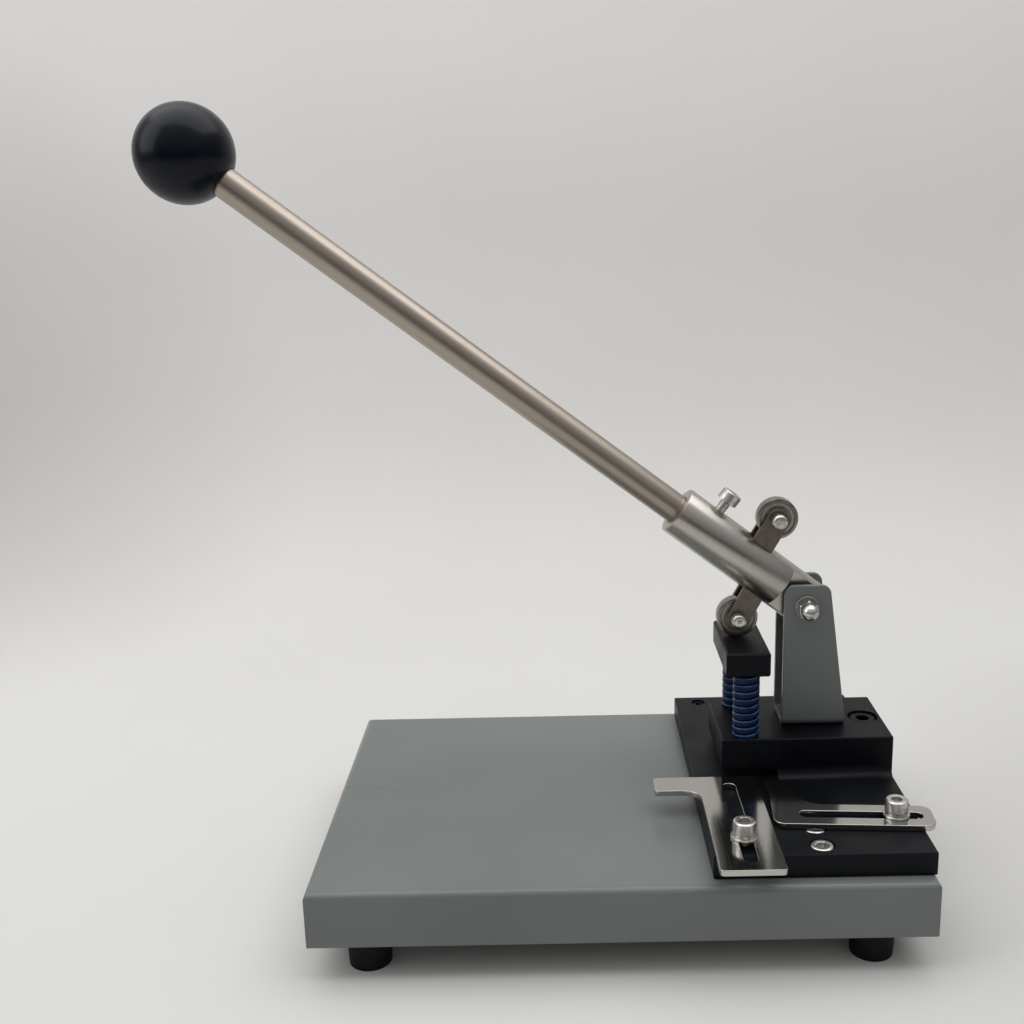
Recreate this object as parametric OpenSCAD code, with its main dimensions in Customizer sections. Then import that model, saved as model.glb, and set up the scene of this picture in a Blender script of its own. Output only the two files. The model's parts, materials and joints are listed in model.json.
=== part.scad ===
// Bench hole punch: a folded steel tray carries a black die block, a lever in a clevis bracket
// presses a sprung bar, and the bar drives one round punch through a die bush.
// Millimetres, +Z up. The front of the machine faces -Y and the lever points to -X.

/* [Base tray] */
// Width of the tray, left to right
base_w = 300; // [290:1:330]
// Depth of the tray, front to back
base_d = 206.5; // [204:0.5:230]
// Height of the tray's folded sides
base_h = 28.3; // [24:0.1:36]
// Thickness of the sheet steel
sheet_t = 2; // [1.5:0.1:2.5]
// Outer radius of the folds along the top
fold_r = 3.5; // [3:0.1:6]
// Width of the lips turned in along the bottom, front and back
lip_w = 31; // [30:0.5:36]

/* [Feet] */
// Height of a rubber foot
foot_h = 21.5; // [14:0.5:24]
// Diameter of a foot at its top
foot_d = 22.3; // [20:0.1:23]
// Diameter of a foot at the floor
foot_tip_d = 20.8; // [18:0.1:21.5]
// Distance of the feet from the tray's left and right sides
foot_inset_x = 27.2; // [20:0.1:40]
// Distance of the feet from the tray's front and back
foot_inset_y = 18.5; // [15:0.1:19]

/* [Die block] */
// Width of the block's foot plate
plate_w = 106; // [104:0.1:110]
// Distance of the plate from the tray's back
plate_back_inset = 5.3; // [3:0.1:12]
// Thickness of the foot plate
plate_h = 12; // [10:0.1:16]
// Distance of the plate from the tray's right side
plate_inset_x = 0.2; // [0:0.1:4]
// Distance of the plate from the tray's front
plate_inset_y = 6.7; // [4:0.1:8]
// Width of the punch head that stands on the plate
head_w = 91.5; // [88:0.1:96]
// Depth of the punch head
head_d = 55.7; // [54:0.1:60]
// Height of the punch head above the plate
head_h = 21.75; // [20:0.05:26]
// Distance from the plate's front to the head's front
head_setback = 82.2; // [82:0.1:90]
// Radius of the hollow fillet between the head's front and the plate
head_fillet_r = 6; // [4:0.1:6.5]
// Height of the throat that takes the sheet to be punched
throat_h = 4.6; // [4.4:0.1:5.5]
// Reach of the throat into the head, from its left side
throat_w = 30; // [28:0.1:33]
// Small flat on every machined edge
edge_ease = 0.6; // [0.3:0.1:1]

/* [Punch set] */
// Diameter of the hole that is punched
punch_d = 6; // [3:0.1:8]
// Outer diameter of the die bush
bush_d = 16; // [13:0.1:18]
// Width of the press bar
bar_w = 23.5; // [22:0.1:26]
// Thickness of the press bar
bar_h = 13.2; // [10:0.1:15]
// Small flat on the press bar's edges
bar_ease = 1; // [0.5:0.1:1.5]
// Distance from the head's left side to the press bar
bar_inset_x = 2; // [0.5:0.1:3]
// Diameter of a guide post
post_d = 8; // [6:0.1:8.2]
// Distance between the two guide posts
post_gap = 41; // [38:0.1:41.2]
// Depth of a guide post in the head at rest
post_reach = 6; // [5:0.1:7]
// Depth of the posts and the punch in the press bar
post_socket = 8; // [6:0.1:9]
// Height of the punch's tip above the throat at rest
punch_lift = 0.7; // [0.4:0.1:1.5]
// Widening of the hole under the die bush's cutting edge, all round
chip_gap = 1.5; // [1:0.1:2]
// Depth of the die bush's cutting hole
die_land = 5.5; // [5:0.1:7]

/* [Springs] */
// Number of turns in a spring
spring_turns = 8.5; // [6:0.5:9]
// Outer diameter of a spring
spring_d = 14.1; // [13.5:0.1:14.5]
// Width of the flat spring wire, measured outwards
spring_wire_w = 2; // [1.5:0.1:2]
// Height of the flat spring wire
spring_wire_h = 2.6; // [2:0.1:2.8]

/* [Bracket] */
// Distance from the head's left side to the bracket
bracket_inset_x = 34.8; // [34:0.1:38]
// Distance from the head's front to the bracket
bracket_inset_y = 16.4; // [15:0.1:18]
// Width of an ear at its foot
ear_foot_w = 34.6; // [32:0.1:38]
// Width of an ear at its top
ear_top_w = 24.2; // [22:0.1:28]
// Height of the bracket
ear_h = 79.7; // [78:0.1:84]
// Thickness of the bracket's plate
ear_t = 3; // [2.5:0.1:4]
// Gap between the two ears
ear_gap = 20; // [18:0.1:22]
// Outer radius of the bracket's two folds
bracket_fold_r = 4; // [3.5:0.1:6]
// Radius of an ear's top corners
ear_corner_r = 5; // [4:0.1:8]
// Height of the pivot above the head
pivot_h = 67.6; // [66:0.05:69]
// Distance from the ears' left edge to the pivot
pivot_inset_x = 11.9; // [11:0.1:13]
// Diameter of the pivot bolt
pivot_d = 6; // [5:0.1:8]

/* [Lever] */
// Angle of the lever above level at rest
lever_angle = 37.4; // [36.5:0.1:38.5]
// Distance from the pivot to the centre of the ball
lever_reach = 394; // [350:1:450]
// Diameter of the hub that holds the rod
hub_d = 26.5; // [25:0.1:27]
// Distance from the pivot to the hub's open end
hub_reach = 85.8; // [82:0.1:95]
// Thickness of the hub's flat tongue between the ears
tongue_t = 14; // [12:0.1:18]
// Distance from the pivot to the shoulder of the tongue
tongue_reach = 16; // [15:0.1:17]
// Diameter of the rod
rod_d = 16; // [12:0.1:18]
// Depth of the rod in the hub
rod_socket = 50; // [45:0.1:56]
// Depth of the rod in the ball
ball_socket = 15; // [10:0.1:20]
// Diameter of the ball knob
ball_d = 50; // [40:0.5:60]
// Distance from the pivot to the rod's clamping screw
clamp_reach = 67; // [64:0.1:72]
// Length of the clamping screw that shows under its head
clamp_gap = 5.75; // [3:0.05:8]

/* [Rollers] */
// Diameter of a roller
roller_d = 22; // [20:0.1:24]
// Width of a roller
roller_w = 7; // [6:0.1:7.2]
// Outer diameter of a roller's inner ring
inner_ring_d = 12; // [11:0.1:13]
// Diameter of a roller's pin
roller_pin_d = 8; // [6:0.1:9]
// Distance of the rollers from the lever's axis
roller_offset = 27.9; // [27:0.1:28.8]
// Distance from the pivot to the lower roller, along the lever
lower_reach = 23.3; // [22.5:0.1:24.5]
// Distance from the pivot to the upper roller, along the lever
upper_reach = 40; // [38:0.1:46]
// Thickness of a cheek plate
cheek_t = 2.5; // [2:0.1:3]
// Gap between the two cheeks of a roller
cheek_gap = 8; // [7.8:0.1:9]
// Radius of a cheek's round end
cheek_r = 6.2; // [5.5:0.1:7]
// Width of a cheek where it is welded to the hub
cheek_root_w = 12.5; // [11:0.1:14]
// Lean of the lower cheeks towards the ball
lower_lean = 3.2; // [2.5:0.1:4]
// Lean of the upper cheeks towards the pivot
upper_lean = 2.6; // [1:0.1:4]
// Length of a roller's pin in front of its cheek
pin_front = 5.6; // [3:0.1:7]
// Length of a roller's pin behind its cheek
pin_rear = 2; // [1:0.1:4]

/* [Guides] */
// Thickness of the stop guides
guide_t = 3; // [2:0.1:4]
// Width of the slots in the guides
slot_w = 6.8; // [6.6:0.1:7.2]
// Distance from the plate's left side to the left guide's leg
left_leg_inset = 0.7; // [0:0.1:0.8]
// Width of the left guide's leg
left_leg_w = 31; // [26:0.1:31]
// Length of the left guide's leg
left_leg_l = 95.2; // [90:0.1:96]
// Distance that the left guide stands out past the plate's front
left_overhang = 17.9; // [17:0.1:22]
// Length of the left guide's arm past its leg
left_arm_l = 23.5; // [15:0.1:30]
// Width of the left guide's arm
left_arm_w = 15.5; // [12:0.1:18]
// Radius of the corner between the left arm and leg
left_corner_r = 9; // [4:0.1:12]
// Length of the slot in the left guide
left_slot_l = 80.5; // [70:0.1:82]
// Distance from the left guide's front end to its slot
left_slot_inset = 6.7; // [6:0.1:8]
// Distance from the plate's front to the left guide's screw
left_screw_y = 12.6; // [11:0.1:18]
// Turn of the right guide about its screw
right_skew = 4.4; // [3:0.1:5]
// Gap between the right guide and the left guide's leg
guide_gap = 1.9; // [1:0.1:4]
// Length of the right guide right of its screw
right_front_l = 18.2; // [16:0.1:24]
// Width of the right guide's leg
right_leg_w = 21; // [19:0.1:22]
// Width of the right guide's arm
right_arm_w = 13.5; // [11:0.1:16]
// Length of the right guide's arm past its leg
right_arm_l = 26.5; // [22:0.1:27]
// Radius of the corner between the right arm and leg
right_corner_r = 13; // [8:0.1:16]
// Radius of the right guide's outer corners
right_round_r = 5.5; // [4:0.1:6.5]
// Distance from the right guide's left end to its slot
right_slot_end = 13.2; // [12:0.1:16]
// Distance from the right guide's right end to its slot
right_slot_inset = 5.1; // [4:0.1:8]
// Distance from the tray's right side to the right guide's screw
right_screw_x = 12.2; // [11:0.1:12.2]
// Distance from the plate's front to the right guide's screw
right_screw_y = 31.3; // [30:0.1:32]

/* [Screws] */
// Thread diameter of the guide, clamp, bracket and front screws
screw_d = 6; // [5:0.1:6]
// Thread diameter of the large screw in the head
big_screw_d = 8; // [6:0.1:8]
// Thread diameter of the small screws at the plate's back
small_screw_d = 4; // [3:0.1:5]
// Thread diameter of the screws in the feet
foot_screw_d = 5; // [4:0.1:5]
// Distance from the plate's front to the first front screw
front_screw_y = 9.9; // [8:0.1:12]
// Distance between the two front screws
front_screw_gap = 16.9; // [15:0.1:19]
// Distance from the plate's sides to the back screws
back_screw_x = 14; // [10:0.1:20]
// Distance from the plate's back to the back screws
back_screw_y = 8.3; // [7:0.1:12]
// Distance from the head's right side to its large screw
head_screw_inset = 10; // [9.8:0.1:12]
// Distance from the bracket's sides to its screws
bracket_screw_inset = 8; // [7:0.1:9]
// Thickness of a flat washer
washer_t = 1.2; // [0.8:0.1:1.6]
// Thickness of a spring washer
lock_washer_t = 1.6; // [1.2:0.1:2]

/* [Fits] */
// Radial clearance of a pin that turns or slides in its bore
running_gap = 0.05; // [0.02:0.01:0.1]
// Radial clearance of a fixed piece in its seat
seat_gap = 0.02; // [0.01:0.01:0.05]
// Gap between faces that slide over each other
slide_gap = 0.1; // [0.05:0.01:0.2]
// Gap between the lower roller and the press bar at rest
roller_gap = 0.3; // [0.28:0.01:0.4]
// Radial clearance round the screws
screw_gap = 0.25; // [0.15:0.01:0.5]
// Gap at each end of a spring
spring_gap = 0.3; // [0.2:0.01:0.5]

/* [Hidden] */
$fn = 64;

// Colours of the finishes
grey_enamel = [0.42, 0.45, 0.44];
black_oxide = [0.07, 0.07, 0.08];
bright_steel = [0.72, 0.71, 0.69];
tool_steel = [0.5, 0.5, 0.5];
zinc_plate = [0.82, 0.82, 0.8];
black_rubber = [0.05, 0.05, 0.05];
black_phenolic = [0.03, 0.03, 0.05];
spring_blue = [0.06, 0.16, 0.38];

// Small overlap that keeps cuts clear of the faces they start on
cut = 1;

// Proportions of a screw, as multiples of its thread diameter
cap_d = 1.88;
cap_h = 1;
sink_d = 2.05;
nut_d = 1.87;
nut_h = 0.8;
washer_d = 2.2;
dome_d = 1.55;
dome_h = 0.35;

// Levels and edges of the tray, die block and head
tray_top = foot_h + base_h;
plate_x = base_w - plate_inset_x - plate_w;
plate_y = plate_inset_y;
plate_d = base_d - plate_inset_y - plate_back_inset;
plate_top = tray_top + plate_h;
head_x = base_w - plate_inset_x - head_w;
head_y = plate_y + head_setback;
head_top = plate_top + head_h;
head_mid_y = head_y + head_d / 2;
throat_top = plate_top + throat_h;

// Bracket and pivot
bracket_x = head_x + bracket_inset_x;
bracket_y = head_y + bracket_inset_y;
bracket_w = ear_gap + 2 * ear_t;
lever_y = bracket_y + bracket_w / 2;
pivot_x = bracket_x + pivot_inset_x;
pivot_z = head_top + pivot_h;
spacer_l = (ear_gap - tongue_t) / 2 - 2 * slide_gap;
bracket_screw_x = [bracket_x + bracket_screw_inset, bracket_x + ear_foot_w - bracket_screw_inset];

// Ear's outline: the right edge leans, and its round corner touches edge and top
ear_slope = (ear_foot_w - ear_top_w) / ear_h;
ear_lean = atan(ear_slope);
ear_round_z = ear_h - ear_corner_r;
ear_round_x = ear_foot_w - ear_slope * ear_round_z - ear_corner_r / cos(ear_lean);

// Lower roller, and the press bar that lies under it
hub_r = hub_d / 2;
roller_drop = lower_reach * sin(lever_angle) - roller_offset * cos(lever_angle);
bar_top = pivot_z + roller_drop - roller_d / 2 - roller_gap;
bar_z = bar_top - bar_h;
bar_x = head_x + bar_inset_x;
bar_mid_x = bar_x + bar_w / 2;
post_front_y = head_mid_y - post_gap / 2;
post_rear_y = head_mid_y + post_gap / 2;
post_hole_d = post_d + 2 * running_gap;
punch_tip = throat_top + punch_lift;
punch_hole_d = punch_d + 2 * running_gap;
chip_hole_d = punch_d + 2 * chip_gap;

// Springs between the head and the press bar
spring_l = bar_z - head_top - 2 * spring_gap;
spring_pitch = (spring_l - spring_wire_h) / spring_turns;
spring_mid_r = (spring_d - spring_wire_w) / 2;
rings_per_turn = 8;
ring_sides = 6;
last_ring = spring_turns * rings_per_turn;

// Guides, placed by their legs and screws
guide_z = plate_top + slide_gap;
washer_z = guide_z + guide_t + slide_gap;
left_leg_x = plate_x + left_leg_inset;
left_guide_y = plate_y - left_overhang;
left_slot_x = left_leg_x + left_leg_w / 2;
left_screw = [left_slot_x, plate_y + left_screw_y];
right_screw = [base_w - right_screw_x, plate_y + right_screw_y];
right_back_l = right_screw.x - left_leg_x - left_leg_w - guide_gap;
right_slot_l = right_back_l + right_front_l - right_slot_inset - right_slot_end;

// Screws through the plate, the head and the lips
front_sink = 1.05 * screw_d;
back_sink = 1.25 * small_screw_d;
head_sink = 1.1 * big_screw_d;
thread_end = 1;
front_screws = [for (y = [front_screw_y, front_screw_y + front_screw_gap]) [plate_x + plate_w / 2, plate_y + y]];
back_screws = [
    for (x = [back_screw_x, plate_w - back_screw_x])
        [plate_x + x, plate_y + plate_d - back_screw_y]
];
head_screw_at = [head_x + head_w - head_screw_inset, head_mid_y];
foot_places = [
    for (y = [foot_inset_y, base_d - foot_inset_y], x = [foot_inset_x, base_w - foot_inset_x]) [x, y]
];

// Box round the whole machine, whose middle is the origin
right_end = [right_front_l - right_round_r, right_leg_w / 2 - right_round_r];
right_end_x = right_screw.x + right_round_r + right_end.x * cos(right_skew) + right_end.y * sin(right_skew);
box_left = min(0, pivot_x - lever_reach * cos(lever_angle) - ball_d / 2);
box_right = max(base_w, right_end_x);
box_front = min(0, left_guide_y);
origin_x = (box_left + box_right) / 2;
origin_y = (box_front + base_d) / 2;

// One ring of the flat spring wire, numbered from the bottom
spring_section = [[-1, -1], [0.5, -1], [1, -0.6], [1, 0.6], [0.5, 1], [-1, 1]];
function spring_ring(i) = let (
    a = 360 * i / rings_per_turn,
    z = spring_gap + spring_wire_h / 2 + spring_pitch * i / rings_per_turn
) [
    for (p = spring_section) let (r = spring_mid_r + p.x * spring_wire_w / 2)
        [r * cos(a), r * sin(a), z + p.y * spring_wire_h / 2]
];

// Least gap between neighbouring turns of a spring, measured on its points
spring_rings = [for (i = [0:last_ring]) spring_ring(i)];
spring_points = [for (ring = spring_rings) each ring];
turn_gaps = [
    for (i = [0:last_ring - rings_per_turn], step = [-1:0], p = spring_rings[i])
        for (q = spring_rings[i + rings_per_turn + step]) norm(p - q)
];
echo(least_spring_gap = min(turn_gaps));

// Moves the machine so that its origin is the middle of its footprint
module placed() translate([-origin_x, -origin_y, 0]) children();

// The lever's own frame: +X runs along the rod, +Z square to it, +Y towards the front
module on_lever() placed() translate([pivot_x, lever_y, pivot_z])
    rotate([0, lever_angle, 0]) rotate([0, 0, 180]) children();

// A cylinder along Y, from y = 0
module y_cylinder(d, l) rotate([-90, 0, 0]) cylinder(d = d, h = l);

// A cylinder along X, from x = 0
module x_cylinder(d, l) rotate([0, 90, 0]) cylinder(d = d, h = l);

// A rectangle with its corners cut off
module eased_square(w, h, e)
    polygon([[e, 0], [w - e, 0], [w, e], [w, h - e], [w - e, h], [e, h], [0, h - e], [0, e]]);

// A block with a small flat on every edge
module eased_box(size, e) intersection() {
    linear_extrude(size.z) eased_square(size.x, size.y, e);
    translate([0, size.y, 0]) rotate([90, 0, 0]) linear_extrude(size.y) eased_square(size.x, size.z, e);
    rotate([90, 0, 90]) linear_extrude(size.x) eased_square(size.y, size.z, e);
}

// A rectangle with round corners
module round_rect(size, r) {
    translate([r, 0]) square([size.x - 2 * r, size.y]);
    translate([0, r]) square([size.x, size.y - 2 * r]);
    for (x = [r, size.x - r], y = [r, size.y - r]) translate([x, y]) circle(r);
}

// A rectangle whose two top corners are round
module round_top(w, h, r) {
    square([w, h - r]);
    translate([r, 0]) square([w - 2 * r, h]);
    for (x = [r, w - r]) translate([x, h - r]) circle(r);
}

// The filling of a square inner corner at the origin, with an arc of radius r
module inner_corner(r) difference() {
    translate([-cut, -cut]) square(r + cut);
    translate([r, r]) circle(r);
}

// A slot of width w along X, from x = 0
module slot_hole(l, w) {
    translate([w / 2, -w / 2]) square([l - w, w]);
    for (x = [w / 2, l - w / 2]) translate([x, 0]) circle(d = w);
}

// A socket-head cap screw: the thread goes down from z = 0 and the head stands on it
module cap_screw(d, l) difference() {
    union() {
        translate([0, 0, -l]) cylinder(d = d, h = l);
        cylinder(d = cap_d * d, h = 0.9 * cap_h * d);
        translate([0, 0, 0.9 * cap_h * d])
            cylinder(d1 = cap_d * d, d2 = (cap_d - 0.2) * d, h = 0.1 * cap_h * d);
    }
    translate([0, 0, 0.5 * cap_h * d]) cylinder(d = 0.95 * d, h = d, $fn = 6);
}

// A flat ring
module ring(outer_d, inner_d, h) difference() {
    cylinder(d = outer_d, h = h);
    translate([0, 0, -cut]) cylinder(d = inner_d, h = h + 2 * cut);
}

// A hexagon nut with a through hole
module hex_nut(d) difference() {
    cylinder(d = nut_d * d, h = nut_h * d, $fn = 6);
    translate([0, 0, -cut]) cylinder(d = d + 2 * seat_gap, h = nut_h * d + 2 * cut);
}

// A cap nut: a hexagon with a dome over its blind hole
module cap_nut(d) difference() {
    union() {
        cylinder(d = nut_d * d, h = nut_h * d, $fn = 6);
        cylinder(d = dome_d * d, h = (nut_h + dome_h) * d);
        translate([0, 0, (nut_h + dome_h) * d]) sphere(d = dome_d * d);
    }
    translate([0, 0, -nut_h * d]) cylinder(d = d + 2 * seat_gap, h = (2 * nut_h + dome_h) * d);
}

// Folded tray

// The tray's outer form less an inset on every side
module tray_form(inset, r) {
    w = base_w - 2 * inset;
    d = base_d - 2 * inset;
    h = base_h - inset;
    translate([inset, inset, 0]) intersection() {
        translate([0, d, 0]) rotate([90, 0, 0]) linear_extrude(d) round_top(w, h, r);
        rotate([90, 0, 90]) linear_extrude(w) round_top(d, h, r);
    }
}

// A hole through the tray's top
module tray_hole(at, d) translate([at.x, at.y, tray_top - base_h / 2]) cylinder(d = d, h = base_h);

module base_tray() color(grey_enamel) placed() difference() {
    translate([0, 0, foot_h]) union() {
        difference() {
            tray_form(0, fold_r);
            tray_form(sheet_t, fold_r - sheet_t);
            translate([sheet_t, sheet_t, -cut])
                cube([base_w - 2 * sheet_t, base_d - 2 * sheet_t, 2 * cut]);
        }
        for (y = [sheet_t / 2, base_d - lip_w]) translate([sheet_t / 2, y, 0])
            cube([base_w - sheet_t, lip_w - sheet_t / 2, sheet_t]);
    }
    for (p = foot_places) translate([p.x, p.y, foot_h - cut])
        cylinder(d = foot_screw_d + 2 * screw_gap, h = sheet_t + 2 * cut);
    for (p = front_screws) tray_hole(p, screw_d + 2 * screw_gap);
    for (p = back_screws) tray_hole(p, small_screw_d + 2 * screw_gap);
    tray_hole(head_screw_at, big_screw_d + 2 * screw_gap);
    tray_hole([bar_mid_x, head_mid_y], chip_hole_d);
}

// Feet

// A tapered rubber foot with a sunk hole for its screw
module foot(at) color(black_rubber) placed() translate([at.x, at.y, 0]) difference() {
    rotate_extrude() polygon([
        [0, 0], [foot_tip_d / 2 - cut, 0], [foot_tip_d / 2, cut],
        [foot_d / 2, foot_h - 2 * cut], [foot_d / 2, foot_h], [0, foot_h]
    ]);
    translate([0, 0, -cut]) cylinder(d = foot_screw_d + 2 * screw_gap, h = foot_h + 2 * cut);
    translate([0, 0, -cut]) cylinder(d = 2 * foot_screw_d + 2 * screw_gap, h = foot_h / 2 + cut);
}

module foot_front_left() foot(foot_places[0]);

module foot_front_right() foot(foot_places[1]);

module foot_back_left() foot(foot_places[2]);

module foot_back_right() foot(foot_places[3]);

// A pan-head screw through a foot, with its nut on the lip
module foot_screw() {
    translate([0, 0, -0.6 * foot_screw_d]) cylinder(d = 2 * foot_screw_d, h = 0.6 * foot_screw_d);
    cylinder(d = foot_screw_d, h = foot_h / 2 + sheet_t + cut);
    translate([0, 0, foot_h / 2 + sheet_t])
        cylinder(d = nut_d * foot_screw_d, h = nut_h * foot_screw_d, $fn = 6);
}

module foot_screws() color(zinc_plate) placed() for (p = foot_places)
    translate([p.x, p.y, foot_h / 2]) foot_screw();

// Die block

// A screw hole through the block with a sunk seat for the screw's head
module sunk_hole(at, top, d, depth) translate([at.x, at.y, 0]) {
    translate([0, 0, tray_top - cut]) cylinder(d = d + 2 * screw_gap, h = top);
    translate([0, 0, top - depth]) cylinder(d = sink_d * d, h = depth + cut);
}

module die_block() color(black_oxide) placed() difference() {
    union() {
        translate([plate_x, plate_y, tray_top]) eased_box([plate_w, plate_d, plate_h], edge_ease);
        translate([head_x, head_y, tray_top + plate_h / 2])
            eased_box([head_w, head_d, head_h + plate_h / 2], edge_ease);
        translate([head_x + throat_w, head_y, plate_top]) mirror([0, 1, 0]) rotate([90, 0, 90])
            linear_extrude(head_w - throat_w - edge_ease) inner_corner(head_fillet_r);
    }
    translate([head_x - cut, head_y - cut, plate_top])
        cube([throat_w + cut, head_d + 2 * cut, throat_h]);
    for (y = [post_front_y, post_rear_y]) translate([bar_mid_x, y, plate_top + cut])
        cylinder(d = post_hole_d, h = head_h);
    translate([bar_mid_x, head_mid_y, plate_top + cut]) cylinder(d = punch_hole_d, h = head_h);
    translate([bar_mid_x, head_mid_y, tray_top - cut])
        cylinder(d = bush_d + 2 * seat_gap, h = plate_h + 2 * cut);
    for (p = front_screws) sunk_hole(p, plate_top, screw_d, front_sink);
    for (p = back_screws) sunk_hole(p, plate_top, small_screw_d, back_sink);
    sunk_hole(head_screw_at, head_top, big_screw_d, head_sink);
    for (p = [left_screw, right_screw]) translate([p.x, p.y, tray_top + sheet_t])
        cylinder(d = screw_d + 2 * seat_gap, h = plate_h);
    for (x = bracket_screw_x) translate([x, lever_y, plate_top])
        cylinder(d = screw_d + 2 * seat_gap, h = head_h + cut);
}

// Hardened bush whose upper edge cuts the sheet; the hole widens below for the chips
module die_bush() color(tool_steel) placed() translate([bar_mid_x, head_mid_y, tray_top]) difference() {
    cylinder(d = bush_d, h = plate_h);
    translate([0, 0, -cut]) cylinder(d = punch_hole_d, h = plate_h + 2 * cut);
    translate([0, 0, -cut]) cylinder(d = chip_hole_d, h = plate_h - die_land + cut);
}

// Screws of the die block

module plate_screws() color(zinc_plate) placed() for (p = front_screws)
    translate([p.x, p.y, plate_top - front_sink])
        cap_screw(screw_d, plate_h - front_sink + sheet_t + nut_h * screw_d + thread_end);

module plate_back_screws() color(black_oxide) placed() for (p = back_screws)
    translate([p.x, p.y, plate_top - back_sink])
        cap_screw(small_screw_d, plate_h - back_sink + sheet_t + nut_h * small_screw_d + thread_end);

module head_screw() color(black_oxide) placed()
    translate([head_screw_at.x, head_screw_at.y, head_top - head_sink])
        cap_screw(big_screw_d, head_h + plate_h - head_sink + sheet_t + nut_h * big_screw_d + thread_end);

// A nut under the tray's top
module under_nut(at, d) translate([at.x, at.y, tray_top - sheet_t - nut_h * d])
    rotate(30) hex_nut(d);

module under_nuts() color(zinc_plate) placed() {
    for (p = front_screws) under_nut(p, screw_d);
    for (p = back_screws) under_nut(p, small_screw_d);
    under_nut(head_screw_at, big_screw_d);
}

// Bracket and pivot

// Outline of an ear, seen from the front, from its lower left corner
module ear_outline() {
    polygon([
        [0, 0], [ear_foot_w, 0],
        [ear_round_x + ear_corner_r * cos(ear_lean), ear_round_z + ear_corner_r * sin(ear_lean)],
        [ear_round_x, ear_h], [ear_corner_r, ear_h], [0, ear_h - ear_corner_r]
    ]);
    translate([ear_corner_r, ear_h - ear_corner_r]) circle(ear_corner_r);
    translate([ear_round_x, ear_round_z]) circle(ear_corner_r);
}

// The bracket's section, a U with folded corners, seen along X
module u_section() difference() {
    translate([0, ear_h]) mirror([0, 1]) round_top(bracket_w, ear_h, bracket_fold_r);
    translate([ear_t, ear_h + cut]) mirror([0, 1])
        round_top(ear_gap, ear_h + cut - ear_t, bracket_fold_r - ear_t);
}

module pivot_bracket() color(grey_enamel) placed() difference() {
    translate([bracket_x, bracket_y, head_top]) intersection() {
        rotate([90, 0, 90]) linear_extrude(ear_foot_w) u_section();
        translate([0, bracket_w, 0]) rotate([90, 0, 0]) linear_extrude(bracket_w) ear_outline();
    }
    translate([pivot_x, bracket_y - cut, pivot_z])
        y_cylinder(pivot_d + 2 * seat_gap, bracket_w + 2 * cut);
    for (x = bracket_screw_x) translate([x, lever_y, head_top - cut])
        cylinder(d = screw_d + 2 * screw_gap, h = ear_t + 2 * cut);
}

module bracket_screws() color(zinc_plate) placed() for (x = bracket_screw_x)
    translate([x, lever_y, head_top + ear_t]) cap_screw(screw_d, ear_t + head_h - throat_h);

// Pieces on the pivot's axis, with y = 0 on the front ear's outer face
module on_pivot() color(zinc_plate) placed() translate([pivot_x, bracket_y, pivot_z]) children();

module pivot_bolt() on_pivot() {
    translate([0, -washer_t - nut_h * pivot_d, 0])
        y_cylinder(pivot_d, bracket_w + 2 * washer_t + 1.5 * nut_h * pivot_d);
    translate([0, bracket_w + washer_t, 0]) rotate([-90, 0, 0])
        cylinder(d = nut_d * pivot_d, h = nut_h * pivot_d, $fn = 6);
}

module pivot_nut() on_pivot() translate([0, -washer_t, 0]) rotate([90, 0, 0]) cap_nut(pivot_d);

module pivot_washers() on_pivot() for (y = [0, bracket_w + washer_t]) translate([0, y, 0])
    rotate([90, 0, 0]) ring(washer_d * pivot_d, pivot_d + 2 * seat_gap, washer_t);

// Tubes that keep the tongue in the middle between the ears
module pivot_spacers() on_pivot() for (y = [ear_t + slide_gap, bracket_w - ear_t - slide_gap - spacer_l])
    translate([0, y, 0]) rotate([-90, 0, 0]) ring(2 * pivot_d, pivot_d + 2 * running_gap, spacer_l);

// Stop guides

module left_guide_outline() difference() {
    union() {
        round_rect([left_leg_w, left_leg_l], 2);
        translate([-left_arm_l, left_leg_l - left_arm_w])
            round_rect([left_arm_l + left_leg_w / 2, left_arm_w], 2);
        translate([0, left_leg_l - left_arm_w]) rotate(180) inner_corner(left_corner_r);
    }
    translate([left_leg_w / 2, left_slot_inset]) rotate(90) slot_hole(left_slot_l, slot_w);
}

module left_guide() color(bright_steel) placed() translate([left_leg_x, left_guide_y, guide_z])
    linear_extrude(guide_t) left_guide_outline();

// Drawn with the screw at the origin and +X along the slot
module right_guide_outline() difference() {
    union() {
        translate([-right_back_l, -right_leg_w / 2])
            round_rect([right_back_l + right_front_l, right_leg_w], right_round_r);
        translate([-right_back_l, 0]) round_rect([right_arm_w, right_leg_w / 2 + right_arm_l], 2);
        translate([right_arm_w - right_back_l, right_leg_w / 2]) inner_corner(right_corner_r);
    }
    translate([right_front_l - right_slot_inset - right_slot_l, 0]) slot_hole(right_slot_l, slot_w);
}

module right_guide() color(bright_steel) placed() translate([right_screw.x, right_screw.y, guide_z])
    rotate(-right_skew) linear_extrude(guide_t) right_guide_outline();

// A guide's cap screw in the tapped plate
module guide_screw(at) color(zinc_plate) placed()
    translate([at.x, at.y, washer_z + washer_t + lock_washer_t])
        cap_screw(screw_d, washer_z + washer_t + lock_washer_t - tray_top - sheet_t - thread_end);

// A flat washer and a spring washer, split where its ends meet
module washer_pair(at) color(zinc_plate) placed() translate([at.x, at.y, washer_z]) {
    ring(washer_d * screw_d, screw_d + 2 * screw_gap, washer_t);
    translate([0, 0, washer_t]) difference() {
        ring(cap_d * screw_d, screw_d + 2 * screw_gap, lock_washer_t);
        rotate(-60) translate([0, -screw_gap, -cut])
            cube([screw_d, 2 * screw_gap, lock_washer_t + 2 * cut]);
    }
}

module left_guide_screw() guide_screw(left_screw);

module left_guide_washers() washer_pair(left_screw);

module right_guide_screw() guide_screw(right_screw);

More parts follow.
